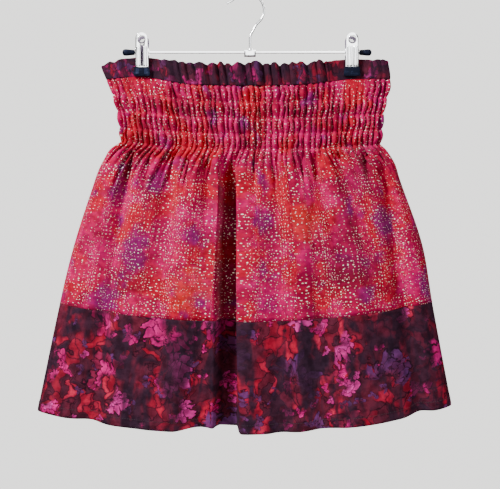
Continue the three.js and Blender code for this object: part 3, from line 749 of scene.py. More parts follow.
# %% Dye
def make_dye_group():
    """1 where pushed noise is over 1 - Amount, eased over Softness to either side of that."""
    inputs = {"Size": 0.05, "Amount": 0.5, "Softness": 0.1, "Seed": 0.0, "Run": 0.3}
    graph, given, result = new_group("Dye", ["Factor"], **inputs)
    placed = graph.seeded(graph.in_units(given["Vector"], given["Size"]), given["Seed"])
    pushed = graph.pushed(placed, placed, 0.8, 1.0, given["Run"])
    patch = graph.noise(pushed, 1.0, 3.0, 0.55).outputs["Fac"]
    threshold = graph.math("SUBTRACT", 1.0, given["Amount"])
    low = graph.math("SUBTRACT", threshold, given["Softness"])
    high = graph.math("ADD", threshold, given["Softness"])
    graph.feed(result["Factor"], graph.step(patch, low, high))
    return graph.tree


DYE = counted(make_dye_group())

# %% [markdown]
# ** Pool** is one round patch of colour. Most are patches of dye poured by hand; the one in the deep fold
# of the front is painted shade. Noise can't be told where to put a patch, and a few have to lie on certain
# folds, so a pool has a middle: it is 1 within half a `Radius` of it, and 0 beyond 1.3. `Tall` stretches
# it down the cloth. Its rim is pushed about by noise, since dye runs along threads.

# %% Pool
def make_pool_group():
    """Falls from 1 to 0 as sqrt(x^2 + (y / Tall)^2) / Radius goes from 0.5 to 1.3 round Middle."""
    graph, given, result = new_group("Pool", ["Factor"], Middle=(0.0, 0.0, 0.0), Radius=0.02, Tall=1.0)
    away = graph.vector("SUBTRACT", given["Vector"], given["Middle"])
    away = graph.in_units(away, given["Radius"])
    away = graph.pushed(away, given["Vector"], 60.0, 3.0, 1.6)
    split = graph.node("ShaderNodeSeparateXYZ", {"Vector": away})
    sides = (split.outputs["X"], graph.math("DIVIDE", split.outputs["Y"], given["Tall"]))
    squares = [graph.math("MULTIPLY", way, way) for way in sides]
    graph.feed(result["Factor"], graph.step(graph.math("SQRT", graph.math("ADD", *squares)), 1.3, 0.5))
    return graph.tree


POOL = counted(make_pool_group())

# %% [markdown]
# **Mottle** is how unevenly thick thread and thin take up a dye: fine noise about a middle of 1, to be
# multiplied into a colour. A multiplier keeps each dye's own hue. `Strength` is how far it goes either way.

# %% Mottle
def make_mottle_group():
    """1 + 2 Strength (g - 1/2), where g is noise with its contrast raised."""
    graph, given, result = new_group("Mottle", ["Value"], Size=0.006, Strength=0.4)
    scaled = graph.in_units(given["Vector"], given["Size"])
    grain = graph.step(graph.noise(scaled, 1.0, 4.0, 0.6).outputs["Fac"], 0.30, 0.70)
    twice = graph.math("MULTIPLY", given["Strength"], 2.0)
    spread = graph.math("MULTIPLY", graph.math("SUBTRACT", grain, 0.5), twice)
    graph.feed(result["Value"], graph.math("ADD", spread, 1.0))
    return graph.tree


MOTTLE = counted(make_mottle_group())

# %% [markdown]
# **Foil dots** are specks of metal foil, glued to the cloth through a screen and partly worn off. Thresholded
# noise would give blots of all shapes. A Voronoi pattern has one point in each cell, so it gives round dots
# that never touch. A cell's random number decides whether it has a dot and how large it is, and `Tone`
# gives each dot its own brightness.

# %% Foil dots
def make_dots_group():
    """1 where a cell's point is nearer than its dot's radius, in the cells whose number is under Density."""
    inputs = {"Spacing": 0.0045, "Radius": 0.001, "Density": 0.8}
    graph, given, result = new_group("Foil dots", ["Mask", "Tone"], **inputs)
    scaled = graph.in_units(given["Vector"], given["Spacing"])
    cell = graph.cells(graph.pushed(scaled, scaled, 1.7, 1.0, 0.05), 0.7)
    random = graph.node("ShaderNodeSeparateColor", {"Color": cell.outputs["Color"]})
    size = graph.math("DIVIDE", given["Radius"], given["Spacing"])
    size = graph.math("MULTIPLY", size, graph.math("MULTIPLY_ADD", random.outputs["Green"], 0.7, 0.65))
    dot = graph.step(cell.outputs["Distance"], size, graph.math("MULTIPLY", size, 0.6))
    present = graph.math("LESS_THAN", random.outputs["Red"], given["Density"])
    graph.feed(result["Mask"], graph.math("MULTIPLY", dot, present))
    graph.feed(result["Tone"], random.outputs["Blue"])
    return graph.tree


DOTS = counted(make_dots_group())

# %% [markdown]
# **Blossom** is an ordinary batik flower, drawn in wax and dyed in layers. Drawn curves would have to be
# laid out one by one, so each petal comes from a formula instead, round each Voronoi point. Let `r` and `a`
# be the distance and the angle from that point. With `N` petals, `f = frac(a N / 2 pi)` runs across one
# petal, so `w = |2 f - 1|` is 0 on its middle and 1 in the gap beside it. The petal ends at
# `r = L (1 - 0.42 w^3)`, where `L` differs from petal to petal, and `Spread` is roughly the share of the
# full turn that has petals. A second, shorter ring lies over the first. The position is first pushed about
# by noise, as ink wanders in wet cloth.

# %% A ring of petals
PETAL_NOTCH = 0.42  # how much shorter a petal is at its sides than on its middle


def petal_ring(graph, place, radius, flower, size):
    """The fill of a ring of petals, its dark lines, and how light each petal is from its root to its tip.

    place counts petals round the flower, radius is the distance from its middle, flower is its own number.
    """
    number = graph.math("ADD", graph.math("FLOOR", place), graph.math("MULTIPLY", flower, 50.0))
    own = graph.node("ShaderNodeTexWhiteNoise", {"W": number}, noise_dimensions="1D").outputs["Value"]
    across = graph.math("ABSOLUTE", graph.math("MULTIPLY_ADD", graph.math("FRACT", place), 2.0, -1.0))
    tip = graph.math("MULTIPLY_ADD", graph.math("POWER", across, 3.0), -PETAL_NOTCH, 1.0)
    length = graph.math("MULTIPLY", graph.math("MULTIPLY_ADD", own, 0.42, 0.58), size)
    edge = graph.math("MULTIPLY", tip, length)
    inside = graph.math("SUBTRACT", edge, radius)
    fill = graph.step(inside, 0.0, 0.05)
    rim = graph.step(graph.math("ABSOLUTE", inside), 0.055, 0.012)
    beside = graph.math("MULTIPLY", graph.math("SUBTRACT", 1.0, across), radius)
    gap = graph.math("MULTIPLY", graph.step(beside, 0.060, 0.018), fill)
    light = graph.step(graph.math("DIVIDE", radius, edge), 0.05, 0.85)
    light = graph.math("MULTIPLY", light, graph.math("MULTIPLY_ADD", own, 0.5, 0.5))
    return fill, graph.math("MAXIMUM", rim, gap), light


print("a petal from middle to side:", [round(1 - PETAL_NOTCH * w**3, 2) for w in (0, 0.5, 1)])

# %% [markdown]
# A flower is two such rings, the inner one turned by half a petal. The number of its Voronoi cell decides
# whether it is there, how large it is and how it is turned.

# %% Blossom
def make_blossom_group():
    """Petal is the fill, Line its dark edges, Tone a number for each flower, Shade how far out on a petal."""
    inputs = {"Spacing": 0.06, "Reach": 0.45, "Petals": 11.0, "Density": 0.6, "Spread": 1.0, "Seed": 0.0}
    graph, given, result = new_group("Blossom", ["Petal", "Line", "Tone", "Shade"], **inputs)
    placed = graph.seeded(graph.in_units(given["Vector"], given["Spacing"]), given["Seed"])
    drawn = graph.pushed(placed, placed, 2.2, 1.0, 0.34)
    drawn = graph.pushed(drawn, placed, 9.0, 2.0, 0.13)
    cell = graph.cells(drawn, 0.85)
    random = graph.node("ShaderNodeSeparateColor", {"Color": cell.outputs["Color"]})
    local = graph.vector("SUBTRACT", drawn, cell.outputs["Position"])
    local = graph.node("ShaderNodeSeparateXYZ", {"Vector": local})
    angle = graph.math("ARCTAN2", local.outputs["Y"], local.outputs["X"])
    angle = graph.math("MULTIPLY_ADD", random.outputs["Blue"], 6.28, angle)
    reach = graph.math("MULTIPLY_ADD", random.outputs["Green"], 0.45, 0.70)
    radius = graph.math("DIVIDE", cell.outputs["Distance"], graph.math("MULTIPLY", reach, given["Reach"]))
    turned = graph.math("MULTIPLY", angle, graph.math("DIVIDE", given["Petals"], 2 * math.pi))
    present = graph.math("LESS_THAN", random.outputs["Red"], given["Density"])
    least = graph.math("MULTIPLY_ADD", given["Spread"], -2.0, 1.0)
    least, most = graph.math("SUBTRACT", least, 0.12), graph.math("ADD", least, 0.12)
    present = graph.math("MULTIPLY", present, graph.step(graph.math("COSINE", angle), least, most))

    flower = random.outputs["Green"]
    outer, outer_line, outer_light = petal_ring(graph, turned, radius, flower, 1.0)
    half_on = graph.math("ADD", turned, 0.5)
    inner, inner_line, inner_light = petal_ring(graph, half_on, radius, flower, 0.56)
    hidden = graph.math("MULTIPLY", outer_line, graph.math("SUBTRACT", 1.0, inner))
    shade = graph.node("ShaderNodeMix", {0: inner, 2: outer_light, 3: inner_light}).outputs[0]
    graph.feed(result["Petal"], graph.math("MULTIPLY", outer, present))
    graph.feed(result["Line"], graph.math("MULTIPLY", graph.math("MAXIMUM", hidden, inner_line), present))
    graph.feed(result["Tone"], graph.math("MULTIPLY_ADD", inner, 0.15, random.outputs["Blue"]))
    graph.feed(result["Shade"], shade)
    return graph.tree


BLOSSOM = counted(make_blossom_group())

# %% [markdown]
# **Leafage** fills a patch with leaf shapes that touch, as a batik's ground is filled between its flowers.
# They are the cells of a Voronoi pattern, stretched along one direction and pushed about by noise. `Line`
# follows the borders of the cells, `Middle` is 1 well away from them, and `Tone` is one random number for
# each cell.

# %% Leafage
def make_leafage_group():
    """Line is 1 within 0.015 of a cell's border, Middle is 1 beyond 0.30, and Tone is the cell's number."""
    inputs = {"Size": 0.016, "Wander": 0.7, "Seed": 0.0}
    graph, given, result = new_group("Leafage", ["Line", "Tone", "Middle"], **inputs)
    placed = graph.seeded(graph.in_units(given["Vector"], given["Size"]), given["Seed"])
    wander = graph.math("MULTIPLY", given["Wander"], 4.0)
    drawn = graph.pushed(placed, placed, 0.6, 1.0, wander)
    drawn = graph.pushed(drawn, placed, 3.5, 2.0, 0.35)
    drawn = graph.vector("MULTIPLY", drawn, (1.0, 0.62, 1.0))
    border = graph.cells(drawn, 0.95, feature="DISTANCE_TO_EDGE")
    cell = graph.cells(drawn, 0.95)
    tone = graph.node("ShaderNodeSeparateColor", {"Color": cell.outputs["Color"]}).outputs["Red"]
    graph.feed(result["Line"], graph.step(border.outputs["Distance"], 0.075, 0.015))
    graph.feed(result["Middle"], graph.step(border.outputs["Distance"], 0.02, 0.30))
    graph.feed(result["Tone"], tone)
    return graph.tree


LEAFAGE = counted(make_leafage_group())

# %% [markdown]
# ## Colours
#
# Colours are linear, and each has the name of its dye, foil, steel or rubber. A number that is the same all
# over a surface is set straight on the shader, so that an exporter can read it.

# %% Colours
CRIMSON = (0.37, 0.003, 0.050)
HOT_PINK = (0.60, 0.002, 0.130)
SCARLET = (0.50, 0.005, 0.029)
ORANGE = (0.72, 0.035, 0.018)
PURPLE = (0.17, 0.009, 0.14)
MAROON = (0.13, 0.006, 0.026)
CREAM = (0.97, 0.83, 0.69)
PALE_GOLD = (1.0, 0.96, 0.88)
WORN_FOIL = (0.33, 0.26, 0.19)
PLUM = (0.029, 0.0125, 0.026)
WINE = (0.115, 0.0145, 0.032)
POPPY = (0.40, 0.008, 0.032)
CORAL = (0.58, 0.022, 0.070)
MAGENTA = (0.80, 0.008, 0.25)
ORCHID = (0.76, 0.05, 0.36)
VIOLET = (0.13, 0.035, 0.16)
INK = (0.012, 0.005, 0.012)
NAVY_RUBBER = (0.006, 0.008, 0.020)
# worn rubber and the darker end of the painted highlight on pads and nub; the next is only that highlight
NAVY_WORN_AND_HIGHLIGHT = (0.022, 0.030, 0.066)
SLATE_PAINTED_HIGHLIGHT = (0.060, 0.075, 0.150)
PLATED = (0.88, 0.885, 0.90)
# painted shade: the dark steel of the clips' insides, springs, slot edges and the feet of the eyelets
STEEL_PAINTED_SHADE = (0.085, 0.070, 0.098)
print("crimson and plum, as red, green and blue:", CRIMSON, PLUM)

# %% [markdown]
# Every material starts in the same way, so the steps they share are written once.

# %% Starting a material
def rgba(colour):
    """The colour with an alpha of 1, as sockets want it."""
    return (*colour, 1.0)


def new_material(name):
    """A material, the Graph of its tree, and its shader."""
    material = bpy.data.materials.new(name)
    material.use_nodes = True
    graph = Graph(material.node_tree)
    return material, graph, material.node_tree.nodes["Principled BSDF"]


def flat_cloth(graph):
    """The coordinates of the flat cloth, in metres."""
    return graph.node("ShaderNodeUVMap", uv_map="cloth").outputs["UV"]


def use(graph, group, vector, **inputs):
    """A group node on a vector, with its other inputs by name."""
    made = graph.node("ShaderNodeGroup", node_tree=group)
    graph.feed(made.inputs["Vector"], vector)
    for key, value in inputs.items():
        graph.feed(made.inputs[key], value)
    return made.outputs


def dye(graph, vector, under, over, strength=1.0, **inputs):
    """Lays patches of one dye over another, at full strength or thinned."""
    patch = use(graph, DYE, vector, **inputs)["Factor"]
    return graph.blend(patch if strength == 1 else graph.math("MULTIPLY", patch, strength), under, rgba(over))


def bump(graph, shader, height, strength, distance):
    """Tilts the shader's normal by the slope of a height; distance is how high 1 is, in metres."""
    made = graph.node("ShaderNodeBump", {"Height": height, "Strength": strength, "Distance": distance})
    graph.feed(shader.inputs["Normal"], made.outputs["Normal"])


# %% [markdown]
# ## Red batik
#
# The body's cloth is dyed in several baths that run into each other, with a few pools of dye poured on by
# hand, and its right side is printed with foil. A streak of maroon down the deep fold of the front is laid
# on in the same way, as painted shade. One noise through a colour ramp would always put the same two
# colours side by side. Laying one dye over another, each with its own patches, lets any two meet.
#
# `BATHS` are laid over each other in order, each in patches of a size in metres. `POOLS` are on the front
# panel, in metres of flat cloth: across from the left seam, down from the waist.

# %% Baths and pools of dye, and a streak of painted shade
BATH_COLUMNS = ("colour", "strength", "size", "amount", "softness", "seed")
BATHS = [
    (HOT_PINK, 1, 0.050, 0.50, 0.12, 3.1),
    (SCARLET, 1, 0.046, 0.48, 0.10, 11.7),
    (MAROON, 0.55, 0.070, 0.40, 0.12, 61.7),
    (PURPLE, 0.8, 0.045, 0.34, 0.08, 37.3),
]
POOL_COLUMNS = ("across", "down", "radius", "tall", "strength", "colour")
POOLS = [
    # a broad patch on the right of the front that makes the cloth darker there
    (0.391, 0.238, 0.044, 1.0, 0.55, MAROON),
    # painted shade: a tall, narrow streak of maroon down the floor of the deep fold
    (0.234, 0.215, 0.014, 8.0, 0.62, MAROON),
    (0.144, 0.205, 0.034, 1.3, 0.50, HOT_PINK),
    (0.053, 0.243, 0.030, 1.2, 0.50, HOT_PINK),
    (0.300, 0.285, 0.030, 1.0, 0.50, HOT_PINK),
    (0.184, 0.265, 0.027, 1.0, 0.55, ORANGE),
    (0.344, 0.180, 0.022, 1.2, 0.50, ORANGE),
    (0.099, 0.219, 0.019, 1.3, 0.75, PURPLE),
    (0.074, 0.281, 0.021, 1.0, 0.75, PURPLE),
    (0.456, 0.189, 0.017, 1.4, 0.75, PURPLE),
    (0.418, 0.278, 0.014, 1.0, 0.65, PURPLE),
    (0.112, 0.130, 0.014, 1.2, 0.60, PURPLE),
    (0.051, 0.145, 0.015, 1.3, 0.70, PURPLE),
    (0.285, 0.174, 0.012, 1.4, 0.50, PURPLE),
    (0.100, 0.250, 0.034, 1.2, 0.40, MAROON),
]
print(f"baths: {len(BATHS)}, by", ", ".join(BATH_COLUMNS))
print(f"pools of dye: {len(POOLS)}, by", ", ".join(POOL_COLUMNS))

# %% [markdown]
# The foil is printed in dots of two sizes, which crowd together in the same places and are brighter there.
# One layer of dots would look like a grid, since each lies in a cell of its own, so the small ones are a
# second layer, moved aside. `Tone` and the crowding together choose each dot's colour and how worn it is.

# %% Printed foil
FOIL_HUES = [(0.0, WORN_FOIL), (0.5, CREAM), (1.0, PALE_GOLD)]


def printed_foil(graph, flat):
    """Where there is foil, from 0 to 1, and its colour there."""
    crowding = use(graph, DYE, flat, Size=0.03, Amount=0.55, Softness=0.16, Seed=5.5)["Factor"]
    many = graph.math("MULTIPLY_ADD", crowding, 0.45, 0.5)
    fewer = graph.math("MULTIPLY", many, 0.8)
    size = graph.math("MULTIPLY_ADD", crowding, 0.00018, 0.00050)
    large = use(graph, DOTS, flat, Spacing=0.0047, Radius=size, Density=many)
    moved = graph.vector("ADD", flat, (0.0137, 0.0071, 0.0))
    small = use(graph, DOTS, moved, Spacing=0.0041, Radius=0.00042, Density=fewer)
    bright = graph.math("MULTIPLY_ADD", crowding, 0.40, graph.math("MULTIPLY", large["Tone"], 0.65))
    mask = graph.math("MULTIPLY", large["Mask"], graph.step(bright, -0.30, 0.50))
    mask = graph.math("MAXIMUM", mask, graph.math("MULTIPLY", small["Mask"], 0.78))
    return mask, graph.ramp(bright, FOIL_HUES)


print(f"foil: {len(FOIL_HUES)} colours from worn to bright")

# %% [markdown]
# On the right side the dots are a little metallic, smoother than the cloth and raised by the glue under
# them. The reverse has no foil, and the dye that came through is duller. Cotton has a fine fuzz, which
# catches light where the cloth turns away from the eye. A deeper red can't show that, so the shader's sheen
# gives it: the sides of the gathers get a little lighter and greyer.

# %% Red batik
COTTON_FUZZ = 0.15  # how much of the light the fuzz sends back
FUZZ_SPREAD = 0.4  # how far it is spread: 0 keeps it to the very edge
COTTON_GLOSS = 0.03  # cotton has almost none
CAME_THROUGH = 0.45  # how far the reverse is dulled towards maroon


def make_speckled(name, foil):
    """Red batik: dyes run into each other, and the right side is printed with dots of metal foil."""
    material, graph, shader = new_material(name)
    flat = flat_cloth(graph)
    colour = rgba(CRIMSON)
    for over, strength, size, amount, softness, seed in BATHS:
        patches = {"Size": size, "Amount": amount, "Softness": softness, "Seed": seed}
        colour = dye(graph, flat, colour, over, strength, **patches)
    # most pools are dye; the streak down the deep fold is painted shade
    for across, down, radius, tall, strength, pool_colour in POOLS:
        pool = use(graph, POOL, flat, Middle=(across, down, 0.0), Radius=radius, Tall=tall)["Factor"]
        colour = graph.blend(graph.math("MULTIPLY", pool, strength), colour, rgba(pool_colour))
    mottle = use(graph, MOTTLE, flat, Size=0.0065, Strength=0.24)["Value"]
    colour = graph.vector("SCALE", colour, scale=mottle)
    weave = use(graph, WEAVE, flat)["Height"]
    if foil:
        mask, foils = printed_foil(graph, flat)
        colour = graph.blend(mask, colour, foils)
        graph.feed(shader.inputs["Metallic"], graph.math("MULTIPLY", mask, 0.3))
        graph.feed(shader.inputs["Roughness"], graph.math("MULTIPLY_ADD", mask, -0.35, 0.8))
        weave = graph.math("MULTIPLY_ADD", mask, 0.6, graph.math("MULTIPLY", weave, 0.6))
    else:
        colour = graph.blend(CAME_THROUGH, colour, rgba(MAROON))
        shader.inputs["Roughness"].default_value = 0.85
    graph.feed(shader.inputs["Base Color"], colour)
    shader.inputs["Specular IOR Level"].default_value = COTTON_GLOSS
    shader.inputs["Sheen Weight"].default_value = COTTON_FUZZ
    shader.inputs["Sheen Roughness"].default_value = FUZZ_SPREAD
    bump(graph, shader, weave, 0.25, 0.00025)
    return material


SPECKLED = [make_speckled("speckled_batik", True), make_speckled("speckled_batik_reverse", False)]
for material in SPECKLED:
    print(f"red batik: {material.name}, {len(material.node_tree.nodes)} nodes")

# %% [markdown]
# ## Floral batik
#
# The frill and the band are cut from a dark cloth with flowers. It could be painted on an image, but that
# would hold one fixed pattern at one size. Here patches of leafage come first, then flowers of three
# sizes, small ones underneath, and last a wash of plum that runs down over all of them. The reverse is
# duller, and the frill's copy of the cloth is dulled further towards plum.

# %% Floral batik
FLOWER_COLUMNS = ("spacing", "reach", "petals", "density", "spread", "seed")
FLOWERS = [
    (0.017, 0.50, 6.0, 0.30, 0.75, 71.0),
    (0.040, 0.52, 11.0, 0.50, 0.60, 47.0),
    (0.076, 0.54, 13.0, 0.66, 0.60, 19.0),
]
PETAL_HUES = [(0.0, VIOLET), (0.36, VIOLET), (0.46, POPPY), (0.58, MAGENTA), (0.85, MAGENTA), (1.0, ORCHID)]
LEAF_HUES = [(0.0, PLUM), (0.40, WINE), (0.78, POPPY), (1.0, CORAL)]


def make_floral(name, shaded):
    """Plum batik: patches of red leafage, then flowers and fans of petals, then streaks that run down.
    shaded is how far all of it is dulled towards plum."""
    material, graph, shader = new_material(name)
    flat = flat_cloth(graph)
    streaked = graph.vector("MULTIPLY", flat, (1.0, 0.30, 1.0))
    ground = {"Size": 0.022, "Amount": 0.50, "Softness": 0.12, "Seed": 2.2, "Run": 0.8}
    colour = dye(graph, streaked, rgba(PLUM), WINE, **ground)

    leaves = use(graph, LEAFAGE, flat, Size=0.0125, Seed=14.0)
    reds = graph.ramp(leaves["Tone"], LEAF_HUES)
    reds = graph.blend(graph.math("MULTIPLY_ADD", leaves["Middle"], -0.55, 0.55), reds, rgba(WINE))
    reds = graph.blend(graph.math("MULTIPLY", leaves["Line"], 0.8), reds, rgba(INK))
    patch = use(graph, DYE, flat, Size=0.050, Amount=0.57, Softness=0.07, Seed=31.0)["Factor"]
    colour = graph.blend(patch, colour, reds)

    for row in FLOWERS:
        sizes = {column.capitalize(): value for column, value in zip(FLOWER_COLUMNS, row)}
        flower = use(graph, BLOSSOM, flat, **sizes)
        hue = graph.blend(flower["Shade"], rgba(WINE), graph.ramp(flower["Tone"], PETAL_HUES))
        colour = graph.blend(graph.math("MULTIPLY", flower["Petal"], 0.93), colour, hue)
        colour = graph.blend(graph.math("MULTIPLY", flower["Line"], 0.85), colour, rgba(INK))
    wash = use(graph, DYE, streaked, Size=0.034, Amount=0.48, Softness=0.06, Seed=8.4, Run=0.9)["Factor"]
    colour = graph.blend(graph.math("MULTIPLY", wash, 0.86), colour, rgba(PLUM))
    mottle = use(graph, MOTTLE, flat, Size=0.012, Strength=0.34)["Value"]
    colour = graph.vector("SCALE", colour, scale=mottle)
    if shaded:
        colour = graph.blend(shaded, colour, rgba(PLUM))
    graph.feed(shader.inputs["Base Color"], colour)
    shader.inputs["Roughness"].default_value = 0.8
    shader.inputs["Specular IOR Level"].default_value = COTTON_GLOSS
    bump(graph, shader, use(graph, WEAVE, flat)["Height"], 0.2, 0.0002)
    return material


FLORAL = [make_floral("floral_batik", 0), make_floral("floral_batik_reverse", 0.5)]
FRILL_FLORAL = [make_floral("floral_batik_dark", 0.4), FLORAL[1]]
for material in (FRILL_FLORAL[0], *FLORAL):
    print(f"floral batik: {material.name}, {len(material.node_tree.nodes)} nodes")
print(f"flowers: {len(FLOWERS)} sizes, by", ", ".join(FLOWER_COLUMNS))

# %% [markdown]
# ## Thread, steel and rubber
#
# The elastic and the hem are sewn in thread of two plies. Two twisted strands could be modelled, but a wave
# across the stitch shows them, darker in the grooves between the plies as painted shade, which is enough
# for a thread half a millimetre thick.

# %% Thread
RED_COTTON = (0.42, 0.02, 0.05)
DARK_COTTON = (0.03, 0.012, 0.025)


def make_thread(name, colour):
    """Sewing thread: two plies, seen as a slanting ripple of painted shade."""
    material, graph, shader = new_material(name)
    place = graph.node("ShaderNodeTexCoord").outputs["Object"]
    ply = graph.node("ShaderNodeTexWave", {"Vector": place, "Scale": 900.0, "Distortion": 1.0})
    ply.bands_direction = "DIAGONAL"
    # the darker bands of the ripple are painted shade in the grooves between the plies
    shade = graph.blend(ply.outputs["Fac"], rgba(tuple(c * 0.6 for c in colour)), rgba(colour))
    graph.feed(shader.inputs["Base Color"], shade)
    shader.inputs["Roughness"].default_value = 0.6
    return material


RED_THREAD = make_thread("red_thread", RED_COTTON)
DARK_THREAD = make_thread("dark_thread", DARK_COTTON)
print("threads:", RED_THREAD.name, DARK_THREAD.name)

# %% [markdown]
# The hanger is plated steel. A mirror with one roughness looks like a drawing of metal, so noise adds faint
# smears to the gloss, and noise stretched up and down adds fine scratches. In the slots, under the finger
# holes, on the faces inside the clips and on the springs, a dull, dark copy of the steel is painted shade.

# %% Steel
def make_steel(name, colour, dullness):
    """Plated steel with faint smears and fine scratches in its gloss; dullness is its least roughness."""
    material, graph, shader = new_material(name)
    place = graph.node("ShaderNodeTexCoord").outputs["Object"]
    smear = graph.node("ShaderNodeTexNoise", {"Vector": place, "Scale": 90.0, "Detail": 4.0}).outputs["Fac"]
    drawn = graph.vector("MULTIPLY", place, (900.0, 900.0, 60.0))
    scratch = graph.node("ShaderNodeTexNoise", {"Vector": drawn, "Scale": 3.0, "Detail": 2.0}).outputs["Fac"]
    shader.inputs["Base Color"].default_value = rgba(colour)
    shader.inputs["Metallic"].default_value = 1.0
    graph.feed(shader.inputs["Roughness"], graph.math("MULTIPLY_ADD", smear, 0.08, dullness))
    bump(graph, shader, scratch, 0.03, 0.0001)
    return material


CHROME = make_steel("chrome", PLATED, 0.05)
# a dark, dull copy of the steel: painted shade inside the clips, on springs, slot edges and eyelet feet
DULL_STEEL_PAINTED_SHADE = make_steel("dull_steel_painted_shade", STEEL_PAINTED_SHADE, 0.42)
print("steels:", CHROME.name, DULL_STEEL_PAINTED_SHADE.name)

# %% [markdown]
# The jaws and the ends of the rod are dipped in rubber. It is dull, with a fine grain, and greyer where
# hands and cloth have rubbed it. Coarse noise places the wear, fine noise is the grain. A lighter copy on
# the raised pads and the nub of the boots is a painted highlight.

# %% Rubber
def make_rubber(name, dark, worn):
    """Blue-black dipped rubber with a slight grain, greyer where a coarser noise is high. On the jaws and
    rod ends that is wear; the lighter copy on the pads and nub is a painted highlight.
    """
    material, graph, shader = new_material(name)
    place = graph.node("ShaderNodeTexCoord").outputs["Object"]
    grain = graph.node("ShaderNodeTexNoise", {"Vector": place, "Scale": 1400.0, "Detail": 3.0}).outputs["Fac"]
    wear = graph.node("ShaderNodeTexNoise", {"Vector": place, "Scale": 160.0, "Detail": 3.0}).outputs["Fac"]
    colour = graph.blend(graph.step(wear, 0.5, 0.8), rgba(dark), rgba(worn))
    graph.feed(shader.inputs["Base Color"], colour)
    graph.feed(shader.inputs["Roughness"], graph.math("MULTIPLY_ADD", wear, 0.25, 0.30))
    shader.inputs["Specular IOR Level"].default_value = 0.04
    bump(graph, shader, grain, 0.15, 0.0002)
    return material


RUBBER = make_rubber("rubber", NAVY_RUBBER, NAVY_WORN_AND_HIGHLIGHT)
# a lighter copy for the boots' raised pads and nub: a painted highlight
RUBBER_PAINTED_HIGHLIGHT = make_rubber("rubber_painted_highlight", NAVY_WORN_AND_HIGHLIGHT, SLATE_PAINTED_HIGHLIGHT)
print("rubbers:", RUBBER.name, RUBBER_PAINTED_HIGHLIGHT.name)

# %% [markdown]
# ## Uneven rows
#
# Gathers and frills are never evenly spaced, because the cloth is pushed along its thread by hand. Moving
# each start by a repeatable random number keeps their count and gives the same skirt every time.

# %% Uneven rows
CLOTH = 0.0005  # how thick it is, in metres
CUT_WIDTH = 0.52  # how much of the print goes across one panel, in metres
FRILL_WAVES, FRILL_STRAY = 32, 0.7  # their number, and how far a start may stray, as a share of a wave


def unevenly(count, stray, seed):
    """Where each of count waves or gathers starts, as a share of the panel, and where the last one ends."""
    k = np.arange(count + 1)
    return (k + np.where((k > 0) & (k < count), stray * scatter(k + seed), 0)) / count


def share_within(starts, t):
    """The number of the wave that t lies in, how far across it from 0 to 1, and its width."""
    k = np.clip(np.searchsorted(starts, t, side="right") - 1, 0, len(starts) - 2)
    width = starts[k + 1] - starts[k]
    return k, (t - starts[k]) / width, width


WAVE_STARTS = unevenly(FRILL_WAVES, FRILL_STRAY, 200)
widths = np.diff(WAVE_STARTS)
print(f"frill: {FRILL_WAVES} waves, {widths.min():.4f} to {widths.max():.4f} of the panel wide")

# %% [markdown]
# ## The frill
#
# Over the waist seam stands a strip of the dark cloth, gathered into the seam and free at the top. It could
# be simulated like a curtain. A formula is chosen because the waves have to keep clear of the clips. The
# frill waves as a whole, most at its free edge, and each wave lifts the edge a little as it comes
# forward. A second, finer wave keeps the row from looking machined.

# %% Frill
FRILL_ROWS, STEPS_IN_WAVE = 22, 16
FRILL_WAVE_TOP, FRILL_WAVE_SEAM = 2.5, 1.4  # how far a wave stands out, at the free edge and at the seam
FRILL_SCALLOP = 0.7  # how far a wave lifts the free edge
FRILL_CORNER = 5.5  # how far the free edge drops at its left end
FRILL_FOLDED = 0.0012  # the free edge is folded, so the frill is double
FRILL_TUCK, FRILL_TUCK_HALF = 0.5, 1.5  # how far the frill is drawn in at the seam, and over what height
FRILL_PRINT = {FRONT: (1.13, 2.41), BACK: (3.37, 2.41)}  # where on the printed cloth it is cut, in metres


def frill_wave(t, z):
    """2 |sin(pi (s + 1/4))|^0.8 - 1: a round crest at s = 1/4 and a narrow valley at s = 3/4."""
    k, s, width = share_within(WAVE_STARTS, t)
    up = (z - FRILL_SEAM) / (FRILL_TOP - FRILL_SEAM)
    slant = 0.2 * scatter(k + 31) * up
    crest = 2 * np.abs(np.sin(np.pi * (s + 0.25 + slant))) ** 0.8 - 1
    small = 0.3 * up * np.sin(2 * np.pi * t * FRILL_WAVES * 2.37 + 1.3)
    own = 1.05 + 1.1 * scatter(k + 77)
    return mix((FRILL_WAVE_SEAM, FRILL_WAVE_TOP), up) * width * FRILL_WAVES * own * crest + small


